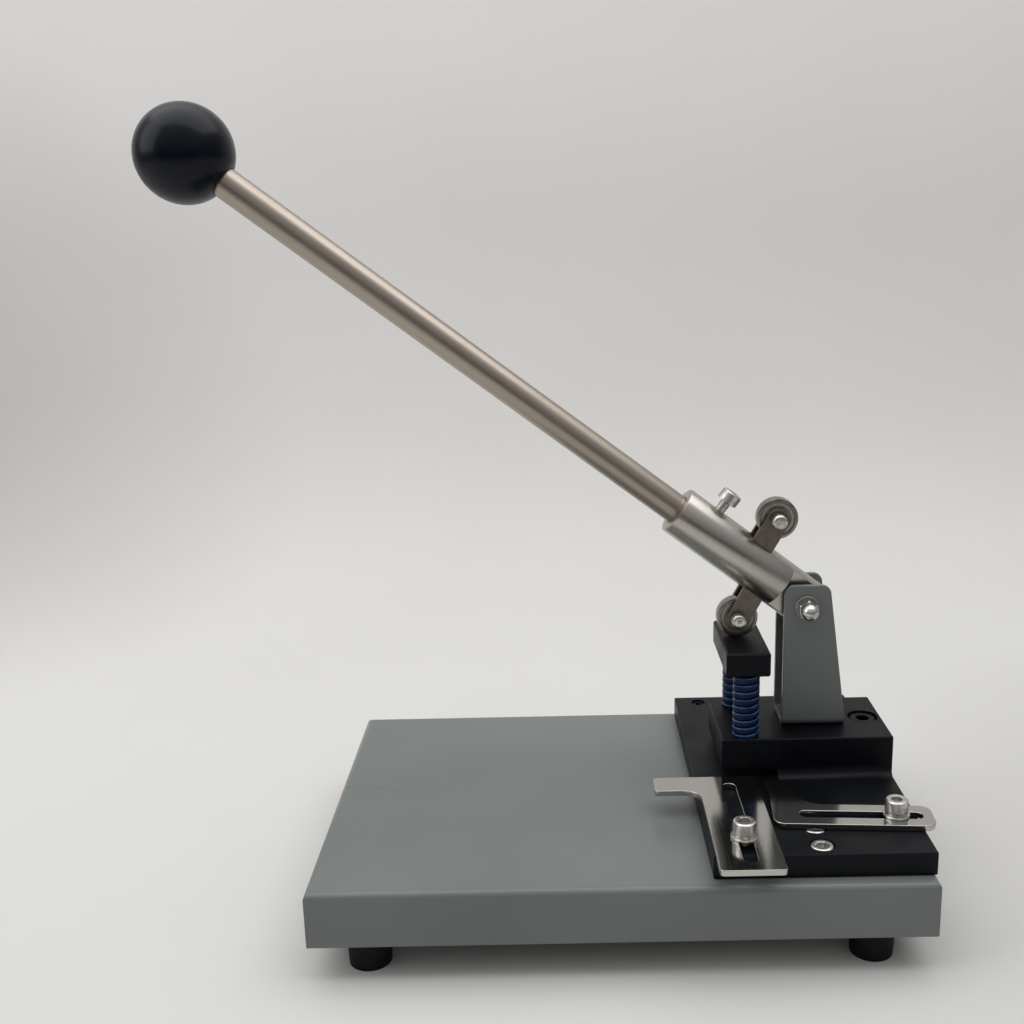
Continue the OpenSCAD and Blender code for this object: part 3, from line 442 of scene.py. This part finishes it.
# %% Blue spring paint
paint_finish = {}
# The second finish is a painted highlight: a lighter greyish blue for the wire's upper outer edge, where light from
# above catches it.
for name, dark, light in (("blue_spring_paint", "#011538", "#042656"), ("painted_highlight_blue_edge", "#35557c", "#6484a4")):
    finish, tree, shader = new_finish(name)
    place = add(tree, "ShaderNodeTexCoord")
    paint_blotches = add(tree, "ShaderNodeTexNoise", {"Vector": place.outputs["Object"], "Scale": 300.0, "Detail": 3.0})
    tint = add(tree, "ShaderNodeValToRGB", {"Fac": paint_blotches.outputs["Fac"]})
    shades(tint, (0.4, dark), (0.75, light))
    tree.links.new(tint.outputs["Color"], shader.inputs["Base Color"])
    shader.inputs["Roughness"].default_value = 0.38
    shader.inputs["Specular IOR Level"].default_value = 0.2
    paint_finish[name] = finish
spring_paint, highlight_blue_paint = paint_finish.values()
print("spring paint:", list(paint_finish))

# %% [markdown]
# ## Solids that keep their shape
# Cut and folded plates are right as they are, but no real edge is perfectly sharp. A weld joins the loose
# triangles, a planar decimate turns them into whole faces, and a small bevel breaks each edge so that it
# catches the light.

# %% Dress and break the edges of the plates
edge_break = {
    "base_tray": (enamel, 0.5), "pivot_bracket": (enamel, 0.5), "die_block": (black, 0.3), "press_bar": (black, 0.3),
    "left_guide": (brushed["left_guide"], 0.3), "right_guide": (brushed["right_guide"], 0.3),
    "lower_cheek_front": (cheek_steel, 0.25), "lower_cheek_rear": (cheek_steel, 0.25),
    "upper_cheek_front": (cheek_steel, 0.25), "upper_cheek_rear": (cheek_steel, 0.25),
}
for name, (finish, width) in edge_break.items():
    plate = nodes[name]
    plate.data.materials.clear()
    plate.data.materials.append(finish)
    joined = plate.modifiers.new("joined_triangles", "WELD")
    joined.merge_threshold = 1e-6
    faces = plate.modifiers.new("whole_faces", "DECIMATE")
    faces.decimate_type = "DISSOLVE"
    faces.angle_limit = math.radians(0.5)
    broken = plate.modifiers.new("broken_edges", "BEVEL")
    broken.width = width * MM
    broken.segments = 2
    broken.limit_method = "ANGLE"
    broken.angle_limit = math.radians(40)
    broken.use_clamp_overlap = False
    broken.harden_normals = True
print("dressed plates:", len(edge_break))

# %% [markdown]
# ## Finer pieces
# A new piece is shaped in a bmesh and then made an object at the origin, with its place in its mesh, as the
# solid nodes are. It rides on the body that carries it and hides the solid it stands for. Where a piece has
# two finishes, a small test on each face picks the one it gets.


# %% Helper that finishes a piece
def finish_piece(shape, name, finishes, body, stands_for, sharp_angle=35, pick=None):
    """Turns a bmesh into an object that rides on a body, in place of the named solid nodes."""
    bmesh.ops.remove_doubles(shape, verts=shape.verts, dist=TOUCHING)
    bmesh.ops.recalc_face_normals(shape, faces=shape.faces)
    for face in shape.faces:
        face.smooth = True
        face.material_index = pick(face) if pick else 0
    for edge in shape.edges:
        edge.smooth = not edge.is_manifold or edge.calc_face_angle(0) < math.radians(sharp_angle)
    mesh = bpy.data.meshes.new(name)
    shape.to_mesh(mesh)
    shape.free()
    for finish in finishes:
        mesh.materials.append(finish)
    piece = bpy.data.objects.new(name, mesh)
    bpy.context.collection.objects.link(piece)
    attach(piece, body)
    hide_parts(*stands_for)
    print(name, "faces:", len(mesh.polygons))
    return piece


# %% [markdown]
# ### Springs
# Each return spring is wound from flat wire. One small rectangle with rounded corners, spun about the post
# while it rises a little at every step, makes the coil, and two cuts grind its ends flat. The narrow faces on
# the wire's upper outer edge take a lighter blue, a painted highlight where the light from above catches them.

# %% Return springs
wire_w, wire_h, wire_round = 2.0 * MM, 3.0 * MM, 0.35 * MM
pitch, turns, steps_per_turn = 4.0 * MM, 10, 40
for side in ("front", "rear"):
    low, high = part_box(side + "_spring")
    middle = Vector(((low.x + high.x) / 2, (low.y + high.y) / 2, 0))
    outer = (high.x - low.x) / 2
    start = (low.z + high.z - pitch * turns - wire_h) / 2
    shape = bmesh.new()
    corners = [(outer - wire_w, 0), (outer, 0), (outer, wire_h), (outer - wire_w, wire_h)]
    section = shape.faces.new([shape.verts.new((middle.x + r, middle.y, start + z)) for r, z in corners])
    bmesh.ops.bevel(shape, geom=list(section.verts), offset=wire_round, segments=2, profile=0.5,
                    affect="VERTICES", material=-1)
    section = max(shape.faces, key=lambda f: f.calc_area())
    bmesh.ops.spin(shape, geom=list(section.verts) + list(section.edges) + [section], cent=middle, axis=(0, 0, 1),
                   dvec=(0, 0, pitch / steps_per_turn), angle=math.tau * turns, steps=turns * steps_per_turn,
                   use_duplicate=False)
    bmesh.ops.remove_doubles(shape, verts=shape.verts, dist=TOUCHING)
    for ground_at, outward in ((low.z, -1), (high.z, 1)):
        everything = list(shape.verts) + list(shape.edges) + list(shape.faces)
        bmesh.ops.bisect_plane(shape, geom=everything, dist=1e-8, plane_co=(0, 0, ground_at),
                               plane_no=(0, 0, outward), clear_outer=True)
        bmesh.ops.holes_fill(shape, edges=[e for e in shape.edges if e.is_boundary], sides=0)

    def on_highlit_edge(face, middle=middle, outer=outer):
        """1 on the upper outer rounding of the wire, where a lighter blue is painted as a highlight."""
        from_axis = (face.calc_center_median() - middle).xy.length
        return int(from_axis > outer - wire_round and 0.15 < face.normal.z < 0.98)

    # Faces on the wire's upper outer rounding get the lighter blue, a painted highlight.
    spring = finish_piece(shape, side + "_spring_coil", [spring_paint, highlight_blue_paint], "base",
                          [side + "_spring"], sharp_angle=40, pick=on_highlit_edge)
    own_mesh(spring)

# %% [markdown]
# ### Turned shapes
# Most small parts here are turned: rollers, rings, ball, pins and screws. Each starts as half an outline, a row
# of points at a distance from the axis and a height along it, which is spun once round. A matrix then carries
# the shape from the Z axis to its place. The lever has its own frame, with X along the rod. A hexagon is cut
# as a mill would cut it: every point outside the six flats is drawn in to them.


# %% Spinning an outline
def spun(outline, place, steps=72, closed=False, into=None):
    """Spins points of (distance from the axis, height), in mm, about Z and puts the shape in its place."""
    shape = into or bmesh.new()
    earlier = set(shape.verts)
    points = [shape.verts.new((r * MM, 0, h * MM)) for r, h in outline]
    pairs = list(zip(points, points[1:])) + ([(points[-1], points[0])] if closed else [])
    line = [shape.edges.new(pair) for pair in pairs]
    bmesh.ops.spin(shape, geom=points + line, cent=(0, 0, 0), axis=(0, 0, 1), dvec=(0, 0, 0),
                   angle=math.tau, steps=steps, use_merge=True)
    fresh = [v for v in shape.verts if v not in earlier]
    bmesh.ops.remove_doubles(shape, verts=fresh, dist=TOUCHING)
    bmesh.ops.transform(shape, matrix=place, verts=[v for v in shape.verts if v not in earlier])
    return shape


def flat_at(point, across_flats):
    """Distance from the axis to the nearest flat of a hexagon, in the direction of a point."""
    return across_flats / 2 / math.cos(math.atan2(point.y, point.x) % (math.pi / 3) - math.pi / 6)


def cut_hexagon(shape, place, across_flats, low, high):
    """Draws the points between two heights of a turned shape in to six flats, all in mm."""
    back = place.inverted()
    for v in shape.verts:
        p = back @ v.co
        if low * MM < p.z < high * MM and p.xy.length > 0:
            p.xy *= min(1, flat_at(p, across_flats * MM) / p.xy.length)
            v.co = place @ p


def upright(low, high, z):
    """The place of a turned shape that stands in the middle of a box, with its foot at height z."""
    return Matrix.Translation(((low.x + high.x) / 2, (low.y + high.y) / 2, z))


pivot = Vector(joint_at["lever_swing"])
on_lever = Matrix.Translation(pivot) @ Matrix.Rotation(LEVER_ANGLE, 4, "Y") @ Matrix.Rotation(math.pi, 4, "Z")
along_rod = Matrix.Rotation(math.pi / 2, 4, "Y")
to_back = Matrix.Rotation(-math.pi / 2, 4, "X")
to_front = Matrix.Rotation(math.pi / 2, 4, "X")
print("lever points along", on_lever.to_3x3().col[0])

# %% [markdown]
# ### Ball knob
# A phenolic ball is moulded round and its mouth is faced off where the rod goes in. The outline runs from the
# bore over the faced mouth and round to the far pole, so the shine stays unbroken over the whole ball.

# %% Ball knob
LEVER_REACH, BALL_R, ROD_R = 394.0, 24.9, 8.0
bore_r, mouth_r, bore_end = ROD_R + 0.02, ROD_R + 1.4, -9.9
start = math.asin(mouth_r / BALL_R)
mouth = -BALL_R * math.cos(start)
outline = [(0, bore_end), (bore_r, bore_end), (bore_r, 0.4 + mouth), (bore_r + 0.4, mouth)]
outline += [(BALL_R * math.sin(a), -BALL_R * math.cos(a))
            for a in [start + (math.pi - start) * i / 48 for i in range(49)]]
ball_place = on_lever @ Matrix.Translation((LEVER_REACH * MM, 0, 0)) @ along_rod
finish_piece(spun(outline, ball_place, steps=96), "ball_knob_faced", [phenolic], "lever",
             ["ball_knob"])

# %% [markdown]
# ### Rod and hub
# The rod is plain drawn bar with a broken edge at each end. The hub is turned bar, bored for the rod, with a
# chamfered mouth. At the pivot it is milled to a flat tongue with a round end: a ring of faces between the
# tongue's outline and the pivot hole is extruded to its thickness, cut into slices across it, and each slice
# is drawn in to the round of the bar.

# %% Lever rod
rod_low, rod_high, ease = 36.8, LEVER_REACH - 10, 0.8
outline = [(0, rod_low), (ROD_R - ease, rod_low), (ROD_R, rod_low + ease), (ROD_R, rod_high - ease),
           (ROD_R - ease, rod_high), (0, rod_high)]
finish_piece(spun(outline, on_lever @ along_rod, steps=96), "lever_drawn_rod", [rod_steel], "lever",
             ["lever_rod"])

# %% Lever hub
HUB_R, HUB_REACH, SHOULDER, TONGUE_T, PIVOT_R = 13.25, 85.8, 16.0, 14.0, 3.05
bore_end, ease, long_by, broad_by, inside_bar = 35.8, 0.9, 3, 1.6, 0.05
outline = [(0, bore_end), (bore_r, bore_end), (bore_r, HUB_REACH - ease), (bore_r + ease, HUB_REACH),
           (HUB_R - ease, HUB_REACH), (HUB_R - 0.25, HUB_REACH - 0.25), (HUB_R, HUB_REACH - ease),
           (HUB_R, SHOULDER + 0.5), (HUB_R - 0.15, SHOULDER + 0.15), (HUB_R - 0.5, SHOULDER), (0, SHOULDER)]
hub = bmesh.new()
turned_end = bmesh.ops.create_circle(hub, segments=48, radius=HUB_R * MM)["verts"]
for v in turned_end:
    if v.co.x > 0:
        v.co.x = min(v.co.x * long_by, (SHOULDER + 1) * MM)
        v.co.y = math.copysign(min(abs(v.co.y) * broad_by, HUB_R * MM), v.co.y)
bmesh.ops.create_circle(hub, segments=48, radius=PIVOT_R * MM)
side_faces = bmesh.ops.bridge_loops(hub, edges=list(hub.edges))["faces"]
grown = bmesh.ops.extrude_face_region(hub, geom=side_faces)["geom"]
bmesh.ops.translate(hub, verts=[g for g in grown if isinstance(g, bmesh.types.BMVert)], vec=(0, 0, TONGUE_T * MM))
across = [e for e in hub.edges if abs(e.verts[0].co.z - e.verts[1].co.z) > 1e-6]
bmesh.ops.subdivide_edges(hub, edges=across, cuts=8, use_grid_fill=True)
bmesh.ops.translate(hub, verts=hub.verts, vec=(0, 0, -TONGUE_T / 2 * MM))
for v in hub.verts:
    bar_edge = math.sqrt(((HUB_R - inside_bar) * MM) ** 2 - v.co.z ** 2)
    v.co.y = max(-bar_edge, min(bar_edge, v.co.y))
bmesh.ops.rotate(hub, verts=hub.verts, cent=(0, 0, 0), matrix=to_front.to_3x3())
spun(outline, along_rod, steps=96, into=hub)
bmesh.ops.transform(hub, matrix=on_lever, verts=hub.verts)
finish_piece(hub, "lever_turned_hub", [hub_steel], "lever", ["lever_hub"])

# %% [markdown]
# ### Rollers and pins
# Each roller is a shielded ball bearing. The outer ring has rounded rims, and a thin pressed shield with a
# shallow bead closes the gap to the inner ring. The ring with its shields is one closed outline, and its
# shield faces take the dull sheet. The pin through it has a groove near its front and a centred, rounded end.

# %% Bearing rings
roller_face = [(6.1, 2.75), (6.9, 2.75), (7.3, 3.05), (8.7, 3.05), (9.0, 2.7), (9.25, 2.7), (9.45, 3.5), (10.5, 3.5),
               (10.85, 3.35), (11.0, 3.0)]
roller_outline = roller_face + [(r, -h) for r, h in reversed(roller_face)]
inner_face = [(4.03, 3.6), (4.35, 3.95), (5.7, 3.95), (6.0, 3.65)]
inner_outline = inner_face + [(r, -h) for r, h in reversed(inner_face)]
for level in ("lower", "upper"):
    axle = Vector(joint_at[level + "_roller_spin"])
    roller_place = Matrix.Translation(axle) @ to_back

    def on_shield(face, axle=axle):
        """1 on the pressed shields, which lie inside the outer ring's rims."""
        off = face.calc_center_median() - axle
        return int(math.hypot(off.x, off.z) < 9.3 * MM and abs(face.normal.y) > 0.5)

    finish_piece(spun(roller_outline, roller_place, closed=True), level + "_roller_bearing", [ground, shield],
                 level + "_wheel", [level + "_roller"], pick=on_shield)
    finish_piece(spun(inner_outline, roller_place, closed=True), level + "_bearing_inner", [ground],
                 "lever", [level + "_inner_ring"])
    low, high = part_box(level + "_pin")
    length = (high.y - low.y) / MM
    pin_outline = [(0, 0.75), (0.9, 0.35), (1.3, 0.02), (2.5, 0), (3.2, 0.2), (3.7, 0.65), (3.95, 1.3), (4.0, 1.9),
                   (4.0, 2.9), (3.55, 3.0), (3.55, 3.9), (4.0, 4.0), (4.0, length - 0.8), (3.4, length), (0, length)]
    pin_place = Matrix.Translation((axle.x, low.y, axle.z)) @ to_back
    finish_piece(spun(pin_outline, pin_place), level + "_roller_pin", [zinc], "lever",
                 [level + "_pin"])

# %% [markdown]
# ### Cap screws
# A socket-head screw is turned with a chamfered head, knurled round its side so that fingers can start it, and
# punched with a hexagon socket. Here the outline is spun, every other point of the side is drawn in for the
# knurl, and the open rim on top is extruded inwards to a hexagon and then down to make the socket.


# %% Cap screw maker
CAP_R, SOCKET_FLATS, KNURL_STEPS, KNURL_DRAW = 0.94, 0.86, 72, 0.968


def cap_screw(d, reach, place, into=None):
    """A socket-head cap screw with its thread down from z = 0, all in mm."""
    head_r, socket_r, ridge = CAP_R * d, 0.5 * d, 0.06 * d
    outline = [(0, -reach), (0.4 * d, -reach)]
    ridges = max(2, int(reach / (0.16 * d)))
    step = (reach - 0.12 * d) / ridges
    for i in range(ridges):
        low = -reach + 0.1 * d + step * i
        outline += [(0.5 * d - ridge, low), (0.5 * d, low + 0.35 * step), (0.5 * d, low + 0.6 * step)]
    outline += [(0.5 * d - ridge, -0.02), (0.5 * d, 0), (head_r - 0.03 * d, 0), (head_r, 0.03 * d), (head_r, 0.1 * d)]
    outline += [(head_r, 0.8 * d), (head_r - 0.03 * d, 0.91 * d), (head_r - 0.09 * d, 0.97 * d),
                (head_r - 0.16 * d, d), (socket_r + 0.06 * d, d)]
    shape = into or bmesh.new()
    earlier = set(shape.verts)
    spun(outline, Matrix.Identity(4), steps=KNURL_STEPS, into=shape)
    fresh = [v for v in shape.verts if v not in earlier]
    for v in fresh:
        turn = round(math.atan2(v.co.y, v.co.x) / (math.tau / KNURL_STEPS))
        if turn % 2 and 0.08 * d * MM < v.co.z < 0.85 * d * MM and v.co.xy.length > 0.7 * d * MM:
            v.co.xy *= KNURL_DRAW
    rim = [e for e in shape.edges if e.is_boundary]
    for drop in (0.03 * d, 0.5 * d):
        grown = bmesh.ops.extrude_edge_only(shape, edges=rim)["geom"]
        corners = [g for g in grown if isinstance(g, bmesh.types.BMVert)]
        rim = [g for g in grown if isinstance(g, bmesh.types.BMEdge) and g.is_boundary]
        for v in corners:
            v.co.xy = v.co.xy.normalized() * flat_at(v.co, SOCKET_FLATS * d * MM)
            v.co.z = (d - drop) * MM
    bmesh.ops.holes_fill(shape, edges=rim, sides=0)
    bmesh.ops.transform(shape, matrix=place, verts=[v for v in shape.verts if v not in earlier])
    return shape


# %% Guide and clamp screws
M6 = 6
for side in ("left", "right"):
    low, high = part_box(side + "_guide_screw")
    seat = upright(low, high, high.z - M6 * MM)
    finish_piece(cap_screw(M6, (high.z - low.z) / MM - M6, seat), side + "_guide_cap_screw", [zinc], "base",
                 [side + "_guide_screw"])
clamp_at, clamp_lift, clamp_reach = 67, 5.75, 10.9
clamp_seat = on_lever @ Matrix.Translation((clamp_at * MM, 0, (HUB_R + clamp_lift) * MM))
finish_piece(cap_screw(M6, clamp_reach, clamp_seat), "clamp_cap_screw", [zinc], "lever",
             ["clamp_screw"])

# %% Sunk screws of the block and the bracket's screws
screw_at = {}
for name, d, finish, slot_name in (
    ("plate_screws", M6, zinc, "zinc_plate"), ("plate_back_screws", 4, black, "black_oxide"),
    ("head_screw", 8, black, "black_oxide"), ("bracket_screws", M6, zinc, "zinc_plate"),
):
    low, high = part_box(name)
    inset = CAP_R * d * MM
    screw_at[name] = [(x, y) for x in sorted({round(low.x + inset, 5), round(high.x - inset, 5)})
                      for y in sorted({round(low.y + inset, 5), round(high.y - inset, 5)})]
    shape = bmesh.new()
    for x, y in screw_at[name]:
        seat = Matrix.Translation((x, y, high.z - d * MM))
        cap_screw(d, (high.z - low.z) / MM - d, seat, into=shape)
    finish_piece(shape, name + "_socket_heads", [finish], "base", [name])
print("screw places:", {name: len(at) for name, at in screw_at.items()})

# %% [markdown]
# ### Washers, nuts and the pivot
# Flat washers are punched, so their edges are slightly round. Under each guide screw lies a spring washer: a
# square wire wound just short of one turn, whose ends stand a little apart. Nuts are hexagons with their
# corners turned off. The pivot's front nut is a cap nut with a dome over the end of the bolt.


# %% Guide washers
def washer_outline(outer, inner, low, thick, ease=0.2):
    """Half section of a ring with eased edges, in mm."""
    high = low + thick
    return [(inner, low + ease), (inner + ease, low), (outer - ease, low), (outer, low + ease), (outer, high - ease),
            (outer - ease, high), (inner + ease, high), (inner, high - ease)]


for side in ("left", "right"):
    low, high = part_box(side + "_guide_washers")
    under = upright(low, high, low.z)
    shape = spun(washer_outline(6.55, 3.25, 0, 1.2), under, closed=True)
    corners = [(3.35, 1.2), (5.6, 1.2), (5.6, 2.75), (3.35, 2.75)]
    wire = shape.faces.new([shape.verts.new(under @ Vector((r * MM, 0, z * MM))) for r, z in corners])
    middle = under.to_translation()
    bmesh.ops.spin(shape, geom=list(wire.verts) + list(wire.edges) + [wire], cent=middle, axis=(0, 0, 1),
                   dvec=(0, 0, 0), angle=math.radians(347), steps=60, use_duplicate=False)
    finish_piece(shape, side + "_guide_washer_pair", [zinc], "base", [side + "_guide_washers"])


# %% Nuts under the tray
NUT_H, NUT_FLATS = 0.8, 1.62


def nut(d, place, into=None):
    """A hexagon nut standing on z = 0, all in mm."""
    corner, face, bore, ease, h = 0.935 * d, 0.82 * d, 0.5 * d + 0.02, 0.07 * d, NUT_H * d
    outline = [(bore, ease), (bore + ease, 0), (face, 0), (corner, ease), (corner, h - ease),
               (face, h), (bore + ease, h), (bore, h - ease)]
    shape = into or bmesh.new()
    earlier = set(shape.verts)
    spun(outline, Matrix.Identity(4), closed=True, into=shape)
    fresh = [v for v in shape.verts if v not in earlier]
    for v in fresh:
        v.co.xy *= min(1, flat_at(v.co, NUT_FLATS * d * MM) / v.co.xy.length)
    bmesh.ops.transform(shape, matrix=place, verts=fresh)
    return shape


nut_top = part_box("under_nuts")[1].z
turned = Matrix.Rotation(math.radians(30), 4, "Z")
under_nuts = bmesh.new()
for name, d in (("plate_screws", M6), ("plate_back_screws", 4), ("head_screw", 8)):
    for x, y in screw_at[name]:
        nut(d, Matrix.Translation((x, y, nut_top - NUT_H * d * MM)) @ turned, into=under_nuts)
finish_piece(under_nuts, "under_hex_nuts", [zinc], "base", ["under_nuts"])



# %% Pivot bolt, cap nut, washers and spacers
def ring_pair(half_section, low, high):
    """Two rings on the pivot, one at each end of a box."""
    rings = spun(half_section, Matrix.Translation((pivot.x, low.y, pivot.z)) @ to_back, closed=True)
    rear = Matrix.Translation((pivot.x, high.y, pivot.z)) @ to_front
    return spun(half_section, rear, closed=True, into=rings)


low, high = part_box("pivot_washers")
nut_place = Matrix.Translation((pivot.x, low.y, pivot.z)) @ to_front @ turned
hex_flats, hex_r, dome_r, dome_at = 9.72, 5.61, 4.65, 6.9
outline = [(0, 6.7), (3.02, 6.7), (3.02, 0), (4.9, 0), (hex_r, 0.45), (hex_r, 4.3), (5.0, 4.8), (dome_r, 4.85)]
outline += [(dome_r * math.cos(a), dome_at + dome_r * math.sin(a))
            for a in [math.pi / 2 * i / 12 for i in range(13)]]
cap_nut = spun(outline, nut_place)
cut_hexagon(cap_nut, nut_place, hex_flats, -0.1, 4.82)
finish_piece(cap_nut, "pivot_cap_nut", [zinc], "base", ["pivot_nut"])
washers = ring_pair(washer_outline(6.55, 3.03, 0, 1.2), low, high)
finish_piece(washers, "pivot_washer_pair", [ground], "base", ["pivot_washers"])
low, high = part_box("pivot_bolt")
length = (high.y - low.y) / MM
outline = [(0, 0), (2.6, 0), (3.0, 0.5), (3.0, length - 4.8), (4.9, length - 4.8), (hex_r, length - 4.4),
           (hex_r, length - 0.5), (4.9, length), (0, length)]
bolt_place = Matrix.Translation((pivot.x, low.y, pivot.z)) @ to_back
bolt = spun(outline, bolt_place)
cut_hexagon(bolt, bolt_place, hex_flats, length - 4.9, length + 0.1)
finish_piece(bolt, "pivot_hex_bolt", [zinc], "base", ["pivot_bolt"])
low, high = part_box("pivot_spacers")
spacers = ring_pair(washer_outline(6.0, 3.05, 0, 2.8), low, high)
finish_piece(spacers, "pivot_spacer_tubes", [zinc], "base", ["pivot_spacers"])

# %% [markdown]
# ### Feet
# A moulded foot tapers a little, has a soft round at the floor, and is counterbored from below so that its
# screw's head never touches the bench. The screw is a pan head with a nut on the tray's lip.

# %% Rubber feet and their screws
hole_r, head_hole_r, tip_r, soft_r = 2.75, 5.25, 10.4, 2.2
foot_screws = bmesh.new()
for corner in ("front_left", "front_right", "back_left", "back_right"):
    low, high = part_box("foot_" + corner)
    middle = upright(low, high, 0)
    top_r, h = (high.x - low.x) / 2 / MM, (high.z - low.z) / MM
    seat = h / 2
    outline = [(hole_r, h), (hole_r, seat), (head_hole_r, seat), (head_hole_r, 0.5), (head_hole_r + 0.5, 0)]
    outline += [(tip_r - soft_r + soft_r * math.sin(a), soft_r - soft_r * math.cos(a))
                for a in [math.pi / 2 * i / 6 for i in range(7)]]
    outline += [(top_r, h - soft_r), (top_r, h - 0.4), (top_r - 0.4, h)]
    finish_piece(spun(outline, middle, closed=True), "rubber_foot_" + corner, [rubber], "base",
                 ["foot_" + corner])
    screw = [(0, seat - 2.95), (2.6, seat - 2.8), (4.3, seat - 2.0), (4.95, seat - 0.9), (5.0, seat), (2.5, seat),
             (2.5, h + 2.8), (2.2, h + 3), (0, h + 3)]
    spun(screw, middle, into=foot_screws)
    nut(5, middle @ Matrix.Translation((0, 0, (h + 2) * MM)), into=foot_screws)
finish_piece(foot_screws, "foot_pan_screws", [zinc], "base", ["foot_screws"])

# %% [markdown]
# ### Posts, punch and die
# The two posts and the punch are ground pins pressed into the bar, each with a broken edge. The die bush is a
# hardened ring whose hole is sharp at the top and opens out below, so that a chip that was cut falls free.

# %% Posts, punch and die bush
for name, radius in (("front_guide_post", 4.0), ("rear_guide_post", 4.0), ("punch", 3.0)):
    low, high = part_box(name)
    length = (high.z - low.z) / MM
    outline = [(0, 0), (radius - 0.3, 0), (radius, 0.3), (radius, length - 0.6), (radius - 0.6, length), (0, length)]
    stand = upright(low, high, low.z)
    finish_piece(spun(outline, stand), name + "_pin", [ground], "bar", [name])
low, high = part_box("die_bush")
bush_r, bush_h, cut_r, relief_r = 8.0, 12.0, 3.05, 4.5
outline = [(relief_r, 0), (bush_r - 0.4, 0), (bush_r, 0.4), (bush_r, bush_h - 0.3), (bush_r - 0.3, bush_h),
           (cut_r, bush_h), (cut_r, 6.5), (relief_r, 6.2)]
stand = upright(low, high, low.z)
finish_piece(spun(outline, stand, closed=True), "die_bush_ring", [ground], "base", ["die_bush"])
